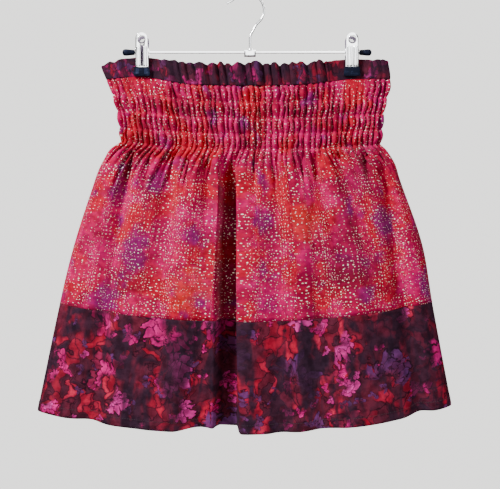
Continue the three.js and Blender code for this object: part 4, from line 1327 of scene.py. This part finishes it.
def make_frill(word, side):
    """z runs down from the free edge and t across; the point is the draped tube plus the wave."""
    z = np.linspace(FRILL_TOP, FRILL_SEAM, FRILL_ROWS)
    t = np.linspace(0, 1, FRILL_WAVES * STEPS_IN_WAVE + 1)
    points = draped(side, z, t, frill_wave)
    share = ((z - FRILL_SEAM) / (FRILL_TOP - FRILL_SEAM))[:, None]
    free = 1 - pinch(points[..., 0], z[:, None])
    edge = FRILL_SCALLOP / FRILL_WAVE_TOP * frill_wave(t[None, :], z[:, None])
    edge = edge + 1.0 * np.sin(t * 61 + 2 * np.sin(t * 17)) + 0.8 * np.sin(t * 143 + 3 * np.sin(t * 29))
    edge = edge * smoothstep(t, 0, 0.05) * smoothstep(1 - t, 0, 0.05)
    edge = edge - FRILL_CORNER * np.exp(-((t / 0.035) ** 2))
    points[..., 2] += edge * smoothstep(share, 0, 1) * free
    tuck = np.exp(-(((z - FRILL_SEAM) / FRILL_TUCK_HALF) ** 2))[:, None, None]
    points -= outwards(side, z, t, frill_wave) * FRILL_TUCK * tuck * free[..., None]
    flat = np.stack(np.broadcast_arrays(t[None, :] * CUT_WIDTH, (FRILL_TOP - z)[:, None] * MM), axis=-1)
    flat = flat + FRILL_PRINT[side]
    name = f"frill_cloth_{word}"
    mesh = sheet_mesh(name, points, flat, side)
    piece = add_piece(name, mesh, FRILL_FLORAL, [f"frill_{word}"])
    give_thickness(piece, FRILL_FOLDED)
    print(f"{name}: {points.shape[0]} rows, {points.shape[1]} columns")
    return piece


for word, side in SIDES:
    make_frill(word, side)

# %% [markdown]
# ## The shirred body
#
# Each body panel is a rectangle of cloth, sewn on the wrong side with four rows of elastic thread. The
# elastic draws the rectangle in, so the cloth between two rows stands out in narrow tubes, pinched at
# both ends. A cloth simulation could find them, but it would take long and come out a little different
# each time. A formula gives the same look at once.
#
# Gather `k` fills the cloth between two valleys. With `s` running from 0 to 1 across it, its height over
# the valley is `A sin(pi s)^p`. `A` is large midway between two rows and small at a row, and differs
# from gather to gather. The grid's columns follow the valleys, which wander a little between the rows, so
# each valley stays sharp. Under the last row each gather opens out over a length of its own.

# %% Gathers
GATHERS, GATHER_STRAY = 50, 0.4
GATHER_MIDWAY, GATHER_AT_ROW = 7.6, 3.2  # height over the bottom of a valley, in millimetres
SUNK_MIDWAY, SUNK_AT_ROW = 4.4, 2.0  # how far a valley lies behind the smooth tube
STEPS_IN_GATHER = np.array([0, 0.07, 0.16, 0.3, 0.5, 0.7, 0.84, 0.93])
CUT_GATHER = CUT_WIDTH / GATHERS
VALLEYS = unevenly(GATHERS, GATHER_STRAY, 0)
widths = np.diff(VALLEYS)
print(f"shirring: {GATHERS} gathers, {widths.min():.4f} to {widths.max():.4f} of the panel wide")


def gap_number(z):
    """0 between the seam and the first row of elastic, up to 4 below the last row."""
    return np.searchsorted(-ELASTICS, -z, side="left")


def gather_places(z, k, s):
    """The share t of the panel where point s of gather k lies at height z: columns k, s and rows z."""
    z = z[:, None]
    number = np.arange(GATHERS + 1)
    swell = np.nan_to_num(np.sin(np.pi * between_rows(z)) ** 2)
    below = smoothstep(LAST_ELASTIC - z, 0, 45)
    shift = 0.75 * scatter(number * 5 + gap_number(z) * 17) * swell + 1.1 * scatter(number * 3 + 2) * below
    shift = shift * (number > 0) * (number < GATHERS) / GATHERS
    valley = VALLEYS + shift
    rows = np.arange(len(z))[:, None]
    return valley[rows, k] * (1 - s) + valley[rows, k + 1] * s


def gather_relief(z, k, s):
    """A sin(pi s)^p less the depth of the valley, for rows z and columns k, s, in millimetres."""
    z = z[:, None]
    swell = np.nan_to_num(np.sin(np.pi * between_rows(z)) ** 2)
    own = 1 + 0.5 * scatter(k + 100)
    in_gap = 1 + 1.2 * scatter(k * 7 + gap_number(z) * 31)
    shirred = GATHER_AT_ROW * own + (GATHER_MIDWAY - GATHER_AT_ROW) * swell * in_gap
    below = LAST_ELASTIC - z
    length = 58 + 75 * scatter(k + 7)
    freed = (GATHER_AT_ROW * own + 2.4 * smoothstep(below, 0, 8) * own) * (1 - smoothstep(below, 6, length))
    power = 1.05 + 0.5 * scatter(k + 55) + 0.9 * smoothstep(below, 0, 40)
    sunk = np.where(
        below > 0,
        SUNK_AT_ROW * (1 - smoothstep(below, 4, 45)),
        SUNK_AT_ROW + (SUNK_MIDWAY - SUNK_AT_ROW) * swell,
    )
    return np.where(below > 0, freed, shirred) * np.sin(np.pi * s) ** power - sunk


print(f"a gather stands {GATHER_MIDWAY} mm out midway between two rows, and {GATHER_AT_ROW} mm at a row")


# %% [markdown]
# Below the shirring the freed cloth falls in soft folds, a few gathers wide. They are smooth noise along
# the panel: a random height at each of `DRAPE_KNOTS` places, eased from one to the next, which grows under
# the elastic and dies away down the skirt. Each row of elastic also pulls a dent into the cloth,
# `-d exp(-((z - row) / w)^2)`, and so does the seam under the frill.

# %% Soft folds and elastic
DRAPE_KNOTS = 54
DRAPE_HEIGHT, DRAPE_REACH = 6.5, 48
DENT, DENT_HALF = 1.5, 1.5  # how deep the elastic cuts in, and over what height
SEAM_TUCK, SEAM_TUCK_HALF = 1.0, 1.6  # the same at the seam


def drape_relief(t, z):
    """Eased noise over the panel, times exp(-depth under the elastic / DRAPE_REACH)."""
    place = t * DRAPE_KNOTS + 0.25 * np.sin(z / 31 + 9 * t)
    k = np.floor(place)
    s = place - k
    ease = s * s * (3 - 2 * s)
    value = scatter(k * 3 + 1) * (1 - ease) + scatter(k * 3 + 4) * ease
    below = LAST_ELASTIC - z
    return DRAPE_HEIGHT * value * smoothstep(below, 4, 40) * np.exp(-np.clip(below, 0, None) / DRAPE_REACH)


def elastic_groove(z):
    """-d exp(-((z - row) / w)^2), summed over the rows of elastic."""
    return -DENT * np.exp(-(((z[..., None] - ELASTICS) / DENT_HALF) ** 2)).sum(axis=-1)


def body_points(side, z, k, s):
    """The body's outer surface for rows z and columns k, s: the draped tube moved out by the relief."""
    t = gather_places(z, k, s)
    points = draped(side, z, t, drape_relief)
    free = 1 - pinch(points[..., 0], z[:, None])
    edge = smoothstep(t, 0, 0.012) * smoothstep(1 - t, 0, 0.012)
    out = gather_relief(z, k, s) * edge + elastic_groove(z[:, None])
    tuck = -SEAM_TUCK * np.exp(-(((z - FRILL_SEAM) / SEAM_TUCK_HALF) ** 2))[:, None]
    return points + outwards(side, z, t, drape_relief) * ((out + tuck) * free)[..., None]


print(f"soft folds: {DRAPE_KNOTS} places, up to {DRAPE_HEIGHT / 2} mm to either side")

# %% [markdown]
# Within a gather the print runs on evenly, and the rest of the cut cloth is out of sight in its valleys.
# So each gather shows the middle `shown` of its cut width, and the whole of it once the cloth is free. That
# is what lets the flowers and dots keep their size on the gathers, which one even stretch would squeeze.

# %% Shirred body
SHOWN_IN_SHIRRING = 0.68
SHIRRING_ROWS, OPENING_ROWS, SKIRT_ROWS = 57, 26, 30
OPENING_FOOT, SKIRT_TOP = -262, -266  # the gathers open out down to the first, in closer rows
BODY_PRINT = {FRONT: (0.0, 0.0), BACK: (0.9, 0.0)}


def make_body(word, side):
    """Rows z down the panel, and columns at the same steps s within each gather k, so none misses a valley.
    Each face has its own corners on the flat cloth."""
    k = np.append(np.repeat(np.arange(GATHERS), len(STEPS_IN_GATHER)), GATHERS - 1)
    s = np.append(np.tile(STEPS_IN_GATHER, GATHERS), 1.0)
    shirring = np.linspace(FRILL_SEAM, LAST_ELASTIC, SHIRRING_ROWS)
    opening = np.linspace(LAST_ELASTIC - 1.5, OPENING_FOOT, OPENING_ROWS)
    skirt = np.linspace(SKIRT_TOP, BAND_SEAM, SKIRT_ROWS)
    z = np.concatenate([shirring, opening, skirt])
    points = body_points(side, z, k, s)
    start, end, number = s[:-1], np.where(s[1:] == 0, 1.0, s[1:]), k[:-1]
    shown = SHOWN_IN_SHIRRING + (1 - SHOWN_IN_SHIRRING) * smoothstep(LAST_ELASTIC - z, 0, 50)
    u = [(number + 0.5 + (share - 0.5) * shown[:, None]) * CUT_GATHER for share in (start, end)]
    v = ((FRILL_SEAM - z) * MM)[:, None] + np.zeros_like(u[0])
    corners = [(u[0][:-1], v[:-1]), (u[0][1:], v[1:]), (u[1][1:], v[1:]), (u[1][:-1], v[:-1])]
    flat = np.stack([np.stack(corner, axis=-1) for corner in corners], axis=2)
    flat = flat + BODY_PRINT[side]
    name = f"shirred_body_{word}"
    nodes = [f"shirring_{word}", f"body_{word}"]
    piece = add_piece(name, sheet_mesh(name, points, flat, side), SPECKLED, nodes)
    give_thickness(piece, CLOTH)
    print(f"{name}: {points.shape[0]} rows, {points.shape[1]} columns")
    return piece


for word, side in SIDES:
    make_body(word, side)

# %% [markdown]
# ## The hem band
#
# A deep strip of the dark cloth is sewn to the body's lower edge and weighs it down. It carries the folds on
# to the hem, so it uses the same functions, with less relief of its own. Its lower edge is turned up, so
# the last 13 mm are double: a small step above the stitching.

# %% Hem band
HEM_TURN = 13  # how much is turned up
HEM_DOUBLE = 0.35  # how far the turned part stands out
BAND_ROWS, BAND_STEPS = 48, 300
BAND_PRINT = {FRONT: (0.1, 0.12), BACK: (0.83, 0.12)}


def band_relief(t, z):
    """Half of the body's soft folds, and a ripple of 0.5 mm that grows towards the hem."""
    ripple = 0.5 * np.sin(t * 71 + 1.7 * np.sin(t * 23)) * smoothstep(-z, -BAND_SEAM, -HEM)
    return drape_relief(t, z) * 0.5 + ripple


def make_band(word, side):
    """z runs down to the hem and t across; the turned part is a step of HEM_DOUBLE, rounded at the edge."""
    z = np.linspace(BAND_SEAM, HEM, BAND_ROWS)
    t = np.linspace(0, 1, BAND_STEPS + 1)
    turned = HEM_DOUBLE * smoothstep(HEM + HEM_TURN - z, -0.5, 0.8)
    rounded = -0.6 * smoothstep(HEM + 1.5 - z, 0, 1.5)
    points = draped(side, z, t, band_relief)
    points += outwards(side, z, t, band_relief) * (turned + rounded - 0.2)[:, None, None]
    flat = np.stack(np.broadcast_arrays(t[None, :] * CUT_WIDTH, (BAND_SEAM - z)[:, None] * MM), axis=-1)
    flat = flat + BAND_PRINT[side]
    name = f"hem_band_cloth_{word}"
    mesh = sheet_mesh(name, points, flat, side)
    piece = add_piece(name, mesh, FLORAL, [f"hem_band_{word}"])
    give_thickness(piece, CLOTH)
    print(f"{name}: {points.shape[0]} rows, {points.shape[1]} columns")
    return piece


for word, side in SIDES:
    make_band(word, side)

# %% [markdown]
# ## Stitches
#
# The rows of elastic are held by a line of machine stitches that shows on the right side, and so is the
# turned hem. Instances along a curve would do, but they would each have to be made real for the export.
# A stitch is a short rod with tapered ends. One is made as a template and set along a line of the cloth:
# each copy is `middle + along * x + across * y + out * z`, worked out for all copies at once.

# %% Rings into faces
def ring_faces(rings, sides):
    """The quads between rings of points and the caps on the two end rings, all facing outwards."""
    index = np.arange(rings * sides).reshape(rings, sides)
    after = np.roll(index, -1, axis=1)
    quads = np.stack([index[:-1], after[:-1], after[1:], index[1:]], axis=-1).reshape(-1, 4)
    return quads, np.stack([index[0][::-1], index[-1]])


def mesh_of(name, points, faces, smooth=None):
    """A mesh from points in millimetres; smooth is how many of its faces, from the first, are smooth."""
    mesh = bpy.data.meshes.new(name)
    mesh.from_pydata((points.reshape(-1, 3) * MM).tolist(), [], faces)
    smooth = len(faces) if smooth is None else smooth
    mesh.polygons.foreach_set("use_smooth", np.arange(len(faces)) < smooth)
    return mesh


print("a stitch of 5 rings has", len(ring_faces(5, 6)[0]), "quads and 2 caps")

# %% [markdown]
# The stitches are spaced by the length of the line and not by `t`, so that they stay equally far apart where
# it runs in and out of the gathers.

# %% A line of stitches
STITCH_SIDES = 6
STITCH_PROFILE = np.array([(-0.5, 0.35), (-0.36, 0.9), (0.0, 1.0), (0.36, 0.9), (0.5, 0.35)])
STITCH_HALF = 0.36  # half of its length, as a share of the pitch
STITCH_SEATED = 0.4  # how far its axis stands off the cloth, as a share of its radius


def stitch_line(name, side, place, z, pitch, radius, material, slot):
    """Stitches along the ring z. place(z, t) gives the cloth's surface; all lengths are in mm. Each stitch
    is its template times the direction along the line, the one across it and the one out of the cloth."""
    line = place(np.atleast_1d(float(z)), np.linspace(0.004, 0.996, 2400))[0]
    length = np.concatenate([[0], np.cumsum(np.linalg.norm(np.diff(line, axis=0), axis=1))])
    count = int(length[-1] // pitch)
    centres = (np.arange(count) + 0.5) * pitch

    def on_line(distance):
        """The points that lie these distances along the line."""
        return np.stack([np.interp(distance, length, line[:, i]) for i in range(3)], axis=-1)

    half = pitch * STITCH_HALF
    start, end = on_line(centres - half), on_line(centres + half)
    middle, along = (start + end) / 2, end - start
    out = np.stack([-side * along[:, 1], side * along[:, 0], np.zeros(count)], axis=-1)
    out /= np.linalg.norm(out, axis=1, keepdims=True)
    across = np.cross(out, along)
    across /= np.linalg.norm(across, axis=1, keepdims=True)
    turn = np.arange(STITCH_SIDES) * 2 * np.pi / STITCH_SIDES
    rings = len(STITCH_PROFILE)
    x = np.repeat(STITCH_PROFILE[:, 0], STITCH_SIDES)
    thick = np.repeat(STITCH_PROFILE[:, 1], STITCH_SIDES) * radius
    y = thick * np.tile(np.cos(turn), rings)
    up = thick * np.tile(np.sin(turn), rings) + radius * STITCH_SEATED
    points = middle[:, None] + along[:, None] * x[:, None]
    points = points + across[:, None] * y[:, None] + out[:, None] * up[:, None]
    quads, caps = ring_faces(rings, STITCH_SIDES)
    shift = (np.arange(count) * len(x))[:, None, None]
    faces = (quads + shift).reshape(-1, 4).tolist() + (caps + shift).reshape(-1, STITCH_SIDES).tolist()
    print(f"{name}: {count} stitches")
    return add_piece(name, mesh_of(name, points, faces), [material])


# %% [markdown]
# The red lines follow the gathered surface over its crests and valleys. The hem's line lies on the band.

# %% Stitching
HEM_STITCHES = HEM + HEM_TURN - 1.5
STITCH_COLUMNS = ("pitch", "radius", "thread", "slot")
ELASTIC_STITCH = (3.2, 0.22, RED_THREAD, "speckled_cloth")
HEM_STITCH = (3.0, 0.2, DARK_THREAD, "floral_cloth")


def on_band(side):
    """The band's own surface, with the turned hem's thickness on it."""
    return lambda z, t: draped(side, z, t, band_relief) + outwards(side, z, t, band_relief) * HEM_DOUBLE


def on_gathers(side):
    """The gathered body's own surface, from the gather that t lies in and how far across it."""
    return lambda z, t: body_points(side, z, *share_within(VALLEYS, t)[:2])


for word, side in SIDES:
    for number, z in enumerate(ELASTICS, 1):
        name = f"elastic_{number}_stitches_{word}"
        stitch_line(name, side, on_gathers(side), z, *ELASTIC_STITCH)
    stitch_line(f"hem_stitches_{word}", side, on_band(side), HEM_STITCHES, *HEM_STITCH)
print("a line of stitches is given by", ", ".join(STITCH_COLUMNS))

# %% [markdown]
# ## The hanger
#
# The hook, the rod and the springs are bent from round wire. Curves with a bevel would make them too, but a
# grid of our own ends exactly where the solid does. Round wire is a tube along a path. Each point of the
# path has two directions square to it, `a` and `b`, and the ring there is `centre + r (a cos + b sin)`. On
# a flat path one of them is always the Y axis, and on a coil it is the direction away from the coil's axis.

# %% Round wire
def tube(name, centre, a, radius, sides=20):
    """A closed tube along the points centre (n, 3), with a (n, 3) square to the path, in millimetres."""
    along = np.gradient(centre, axis=0)
    b = np.cross(along, a)
    b /= np.linalg.norm(b, axis=1, keepdims=True)
    turn = np.arange(sides) * 2 * np.pi / sides
    radius = np.broadcast_to(radius, len(centre))[:, None, None]
    ring = a[:, None] * np.cos(turn)[:, None] + b[:, None] * np.sin(turn)[:, None]
    points = centre[:, None] + radius * ring
    quads, caps = ring_faces(len(centre), sides)
    return mesh_of(name, points, quads.tolist() + caps.tolist(), len(quads))


def through(points, steps):
    """A smooth curve through the points: a cubic in each gap, by the length of the chords."""
    points = np.asarray(points, float)
    length = np.r_[0, np.cumsum(np.linalg.norm(np.diff(points, axis=0), axis=1))]
    slopes = np.gradient(points, length, axis=0)
    at = np.linspace(0, length[-1], steps)
    low = np.clip(np.searchsorted(length, at, side="right") - 1, 0, len(points) - 2)
    gap = (length[low + 1] - length[low])[:, None]
    s = (at - length[low])[:, None] / gap
    ends = points[low] * (1 + 2 * s) * (1 - s) ** 2 + points[low + 1] * s * s * (3 - 2 * s)
    return ends + gap * (slopes[low] * s * (1 - s) ** 2 - slopes[low + 1] * s * s * (1 - s))


print("a curve through 3 points, in 5 steps:", through([(0, 0), (1, 1), (2, 0)], 5).round(2).tolist())

# %% [markdown]
# The hook rises from the saddle in the middle of the rod, leans to the right and turns back over the rail.
# Its points are set down once and a smooth curve is drawn through them, as the wire's spring would.

# %% Hook
ROD_Z, ROD_RADIUS, ROD_HALF = -75.3, 1.5, 158
WIRE_RADIUS, HOOK_INSIDE, STEM_X = 1.4, 20.7, 3.9
Y_AXIS = (0.0, 1.0, 0.0)


def make_hook():
    """Stem, slanting run, three eighths of a circle and a flared end, all in the plane y = 0."""
    bend = HOOK_INSIDE + WIRE_RADIUS
    turn = np.radians(np.arange(-8, 133, 14))
    circle = np.stack([bend * np.cos(turn), bend * np.sin(turn) - HOOK_INSIDE], axis=1)
    stem = [(STEM_X, ROD_Z + 5.6), (STEM_X, -62), (STEM_X + 0.4, -54)]
    stem += [(STEM_X + 3.6, -47.5), (12, -39.5), (18.6, -32)]
    tip = [circle[-1] + (-6, -4.4), circle[-1] + (-12, -7.6)]
    path = through(np.concatenate([stem, circle, tip]), 160)
    centre = np.stack([path[:, 0], np.zeros(len(path)), path[:, 1]], axis=1)
    mesh = tube("hook", centre, np.tile(Y_AXIS, (len(centre), 1)), WIRE_RADIUS)
    add_piece("hook", mesh, [CHROME], ["hanger_hook"])
    print(f"hook: {np.linalg.norm(np.diff(centre, axis=0), axis=1).sum():.0f} mm of wire")


make_hook()

# %% [markdown]
# The rod and its two soft caps are turned shapes on one axis: pairs of a distance along the rod and a radius
# there, with a smooth curve through them.

# %% Rod and caps
def on_rod(x, radius_points, steps=60):
    """Centres and radii of a piece turned about the rod, from (distance along, radius) pairs."""
    shape = through(radius_points, steps)
    centre = np.stack([x + shape[:, 0], np.zeros(steps), np.full(steps, float(ROD_Z))], axis=1)
    return centre, np.tile(Y_AXIS, (steps, 1)), np.clip(shape[:, 1], 0.02, None)


def make_rod():
    """The same radius at three places, which keeps the curve through them straight."""
    centre, a, radius = on_rod(0, [(-ROD_HALF, ROD_RADIUS), (0, ROD_RADIUS), (ROD_HALF, ROD_RADIUS)], 20)
    add_piece("rod", tube("rod", centre, a, radius, 28), [CHROME], ["hanger_rod"])


CAP_SHAPE = [(-12, 1.85), (-12, 3.0), (-11.2, 3.25), (-6, 3.85), (-1, 4.35), (1.6, 4.05), (3.3, 2.7)]
CAP_SHAPE += [(3.95, 0.9), (4, 0.02)]  # the rounded end


def make_cap(word, end):
    """A soft cap on the end of the rod, fattest near its rounded end. Where the shape steps straight out,
    its rings are set a hair apart, so that the path still has a direction there."""
    shape = [(end * along, radius) for along, radius in CAP_SHAPE]
    centre, a, radius = on_rod(end * ROD_HALF, shape, 70)
    along = np.gradient(centre[:, 0])
    centre[:, 0] += np.where(np.abs(along) < 1e-6, 1e-4 * end * np.arange(len(centre)), 0)
    mesh = tube(f"rod_end_{word}", centre, a, radius, 32)
    add_piece(f"rod_end_{word}", mesh, [RUBBER], [f"rod_cap_{word}"])


ENDS = (("left", -1), ("right", 1))
make_rod()
for word, end in ENDS:
    make_cap(word, end)
print(f"rod: {2 * ROD_HALF} mm long, {2 * ROD_RADIUS} mm thick")

# %% [markdown]
# Each clip is closed by a coil spring wound round the rod. Its path is a helix, whose two ends are closed up
# because the pace along the rod slows down there.

# %% Spring
SPRING_TURNS, SPRING_RADIUS, SPRING_WIRE, SPRING_HALF = 5.5, 2.6, 0.5, 4.3


def make_spring(word, clip_x):
    """A coil spring round the rod: (x, r cos, r sin) as the angle grows, with its two ends closed up."""
    angle = np.linspace(0, 2 * np.pi * SPRING_TURNS, 240)
    level = np.zeros_like(angle)
    x = clip_x + SPRING_HALF * (2 * smoothstep(angle, -2, angle[-1] + 2) - 1)
    away = np.stack([level, np.cos(angle), np.sin(angle)], axis=1)
    centre = away * SPRING_RADIUS + np.stack([x, level, level + ROD_Z], axis=1)
    mesh = tube(f"spring_{word}", centre, away, SPRING_WIRE, 10)
    # the spring is in the dark steel of painted shade
    add_piece(f"spring_{word}", mesh, [DULL_STEEL_PAINTED_SHADE], [f"clip_spring_{word}"])


for word, end in ENDS:
    make_spring(word, end * CLIP_X)
print(f"springs: {SPRING_TURNS} turns, at {-CLIP_X} and {CLIP_X} mm")

# %% [markdown]
# ## Plates, boots and saddle
#
# These are pressed from sheet steel or moulded in rubber, so no edge of theirs is sharp. They keep the form
# of their solids: we take a copy of each, dissolve the lines within its flat faces and bevel its edges. A
# rounded edge is a thin bright line in the light, which is most of what makes steel look like steel. The
# plates are bright outside only: the faces inside the clip are in dark, dull steel, which is painted shade.

# %% Rounded copies
STEEL_EDGE, RUBBER_EDGE = 0.00025, 0.0009  # how wide their rounded edges are, in metres


def rounded_copy(name, node, materials, width, segments, inwards=0):
    """A copy of a solid with every sharp edge bevelled by width, in metres. Where there is a second
    material, it goes on the faces that look along Y to the side that inwards gives, 1 or -1."""
    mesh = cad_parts[node].data.copy()
    mesh.materials.clear()
    work = bmesh.new()
    work.from_mesh(mesh)
    bmesh.ops.remove_doubles(work, verts=work.verts, dist=1e-6)
    bmesh.ops.dissolve_limit(work, angle_limit=math.radians(2), verts=work.verts, edges=work.edges)
    sharp = [edge for edge in work.edges if len(edge.link_faces) == 2 and edge.calc_face_angle(0) > 0.6]
    bmesh.ops.bevel(
        work, geom=sharp, offset=width, segments=segments, profile=0.5, affect="EDGES", clamp_overlap=True
    )
    for face in work.faces:
        face.smooth = True
        face.material_index = int(face.normal.y * inwards > 0.9)
    work.to_mesh(mesh)
    work.free()
    mesh.set_sharp_from_angle(angle=math.radians(35))
    return add_piece(name, mesh, materials, [node])


rounded_copy("saddle", "hanger_saddle", [CHROME], STEEL_EDGE, 2)
for word, _ in ENDS:
    for half, side in SIDES:
        label = f"{word}_{half}"
        # the faces inside the clip get the dark steel of painted shade
        steels = [CHROME, DULL_STEEL_PAINTED_SHADE]
        rounded_copy(f"plate_{label}", f"clip_plate_{label}", steels, STEEL_EDGE, 2, -side)
        boot = rounded_copy(f"boot_{label}", f"clip_boot_{label}", [RUBBER], RUBBER_EDGE, 3)
        print(f"boot_{label}: {len(boot.data.polygons)} faces")

# %% [markdown]
# ## What is pressed into the clips
#
# A clip half leans out from its jaw. `on_clip` takes a point on the flat half (across, out, up) to its
# place.
#
# The plates are stiffened by bands pressed out of them, and two of them have a slot between the bands. They
# could be cut into the plate with booleans, but each is only a ramp up, a flat and a ramp down, so it is a
# small grid laid on the plate. A row gives where a band starts and ends across the plate, the widths of its
# two walls, and how far under the face each wall starts.

# %% Bands
JAW_Z, JAW_Y, CLIP_TILT = -106, 2.3, math.radians(8)
PLATE_OUTSIDE = 2.6  # the plate's outer face, from the jaw's inner face
BOOT_OUTSIDE = 4.2  # the boot's outer face, from the same
TAB_Z, BOOT_TALL = 47.5, 11.5  # how high over the jaw the middle of the finger tab and the boot's top are


def on_clip(points, side, clip_x):
    """Moves points (x, out, up) on a clip half into place: leaned out, then set at its jaw."""
    points = np.asarray(points, float)
    x, out, up = points[..., 0], points[..., 1], points[..., 2]
    lean_out = out * math.cos(CLIP_TILT) + up * math.sin(CLIP_TILT)
    lean_up = up * math.cos(CLIP_TILT) - out * math.sin(CLIP_TILT)
    return np.stack([clip_x + x, side * (JAW_Y + lean_out), JAW_Z + lean_up], axis=-1)


BAND_COLUMNS = ("start", "end", "left_wall", "right_wall", "left_root", "right_root")
SLOTTED_BANDS = [
    (-7.0, -5.0, 0.7, 0.7, 0.1, 0.1),
    (-4.6, -1.7, 0.9, 0.9, 0.1, 0.1),
    (1.7, 4.6, 0.9, 0.9, 0.1, 0.1),
    (5.0, 7.0, 0.7, 0.7, 0.1, 0.1),
]
PLAIN_BANDS = [
    (-7.0, -3.9, 0.7, 0.9, 0.1, 0.1),
    (-3.4, 0.9, 0.9, 2.0, 0.1, 0.1),
    (1.2, 4.4, 1.6, 0.9, 0.1, 0.1),
    (4.7, 7.0, 0.9, 0.7, 0.1, 0.1),
]
SLOT_EDGES = [(-1.75, -0.4, 0.2, 0.4, 0.1, 0.5), (0.4, 1.75, 0.4, 0.2, 0.5, 0.1)]
PADS = [(-8.3, -3.0, 0.9, 0.9, 0.1, 0.1), (3.0, 8.3, 0.9, 0.9, 0.1, 0.1)]


def make_bands(name, side, clip_x, bands, bottom, top, outside, proud, material, slot):
    """Raised bands on a clip half, in one mesh: each wall is 3s^2 - 2s^3, and both ends taper away."""
    along = np.linspace(0, 1, 24)
    rise = np.linspace(0, 1, 6)
    wall = smoothstep(rise, 0, 1)
    taper = np.sqrt(np.clip(1 - np.abs(2 * along - 1) ** 12, 0, 1))
    index = np.arange(len(along) * 2 * len(rise)).reshape(len(along), -1)
    quads = np.stack([index[:-1, :-1], index[:-1, 1:], index[1:, 1:], index[1:, :-1]], axis=-1).reshape(-1, 4)
    if side == BACK:
        quads = quads[:, ::-1]
    points, faces = [], []
    for number, (start, end, left_wall, right_wall, left_root, right_root) in enumerate(bands):
        across = np.concatenate([start + rise * left_wall, end - (1 - rise) * right_wall])
        left, right = mix((-left_root, proud), wall), mix((-right_root, proud), wall)[::-1]
        out = outside - 0.1 + (np.concatenate([left, right]) + 0.1)[None, :] * taper[:, None]
        up = mix((bottom, top), along)[:, None]
        grid = np.stack(np.broadcast_arrays(across[None, :] * (1 - 0.04 * along[:, None]), out, up), axis=-1)
        faces += (quads + number * len(index.ravel())).tolist()
        points.append(on_clip(grid, side, clip_x).reshape(-1, 3))
    return add_piece(name, mesh_of(name, np.concatenate(points), faces), [material])


print(f"bands: {len(SLOTTED_BANDS)} and {len(PLAIN_BANDS)} on a plate, by", ", ".join(BAND_COLUMNS))

# %% [markdown]
# A rim is rolled outwards round each finger hole, bright over the top and underneath in the dark steel of
# painted shade. The rubber of a plain half has a small dome in its middle, where it came out of its mould,
# in the lighter rubber of a painted highlight.

# %% Eyelets and nubs
EYELET = 4.9  # the radius of the rim round the hole in a finger tab
EYELET_TOP = (-0.2, np.pi + 0.2, 0.6)  # an arc's two angles, and how thick the rim is there
EYELET_FOOT = (np.pi + 0.3, 2 * np.pi - 0.3, 0.85)
NUB_RADIUS, NUB_HEIGHT, NUB_UP = 0.9, 0.8, 5.6


def make_eyelet(name, side, clip_x, start, end, radius, material):
    """Part of the rim rolled outwards round the hole of a finger tab, from one angle to another."""
    turn = np.linspace(start, end, 60)
    out = np.full_like(turn, PLATE_OUTSIDE + 0.1)
    flat = np.stack([EYELET * np.cos(turn), out, TAB_Z - 0.5 + EYELET * np.sin(turn)], axis=1)
    outward = on_clip((0, 1, 0), side, clip_x) - on_clip((0, 0, 0), side, clip_x)
    mesh = tube(name, on_clip(flat, side, clip_x), np.tile(outward, (len(turn), 1)), radius, 12)
    add_piece(name, mesh, [material])


def make_nub(name, side, clip_x):
    """The moulding point in the middle of a boot: a dome, radius r sqrt(1 - s^2) as s goes out."""
    s = np.linspace(0, 0.99, 12)
    flat = np.stack([0 * s, BOOT_OUTSIDE - 0.2 + NUB_HEIGHT * s, 0 * s + NUB_UP], axis=1)
    sideways = np.tile((1.0, 0.0, 0.0), (len(s), 1))
    mesh = tube(name, on_clip(flat, side, clip_x), sideways, NUB_RADIUS * np.sqrt(1 - s * s), 14)
    # the nub is in the lighter rubber of a painted highlight
    add_piece(name, mesh, [RUBBER_PAINTED_HIGHLIGHT])


print(f"eyelet: {2 * EYELET} mm across; nub: {2 * NUB_RADIUS} mm across")

# %% [markdown]
# Each clip has one slotted half and one plain half, the same pressing turned round: on the left clip the
# slotted half is in front, on the right one it is behind.

# %% Details of each clip
PLATE_BANDS_FROM_TO = (BOOT_TALL + 0.4, TAB_Z - 9)
PADS_FROM_TO = (2.2, 9.6)


def finish_clip(word, end):
    """Bands and a rim for each plate; slot edges and pads for the slotted half, a nub for the plain one."""
    clip_x = end * CLIP_X
    for half, side in SIDES:
        label = f"{word}_{half}"
        slotted = end == side
        bands = SLOTTED_BANDS if slotted else PLAIN_BANDS
        on_plate = (*PLATE_BANDS_FROM_TO, PLATE_OUTSIDE)
        make_bands(f"ribs_{label}", side, clip_x, bands, *on_plate, 0.9, CHROME, "chrome")
        make_eyelet(f"eyelet_{label}", side, clip_x, *EYELET_TOP, CHROME)
        # the foot of the rim is in the dark steel of painted shade
        make_eyelet(f"eyelet_foot_{label}", side, clip_x, *EYELET_FOOT, DULL_STEEL_PAINTED_SHADE)
        if slotted:
            # the slot's rolled edges are in the dark steel of painted shade, which draws the slot as a dark
            # strip
            name = f"slot_edges_{label}"
            make_bands(name, side, clip_x, SLOT_EDGES, *on_plate, 0.25, DULL_STEEL_PAINTED_SHADE, "chrome")
            on_boot = (*PADS_FROM_TO, BOOT_OUTSIDE)
            # the raised pads are in the lighter rubber of a painted highlight
            make_bands(f"pads_{label}", side, clip_x, PADS, *on_boot, 0.45, RUBBER_PAINTED_HIGHLIGHT, "rubber")
        else:
            make_nub(f"nub_{label}", side, clip_x)


for word, end in ENDS:
    finish_clip(word, end)
    print(f"clip {word}: slotted half in {'front' if end == FRONT else 'back'}")
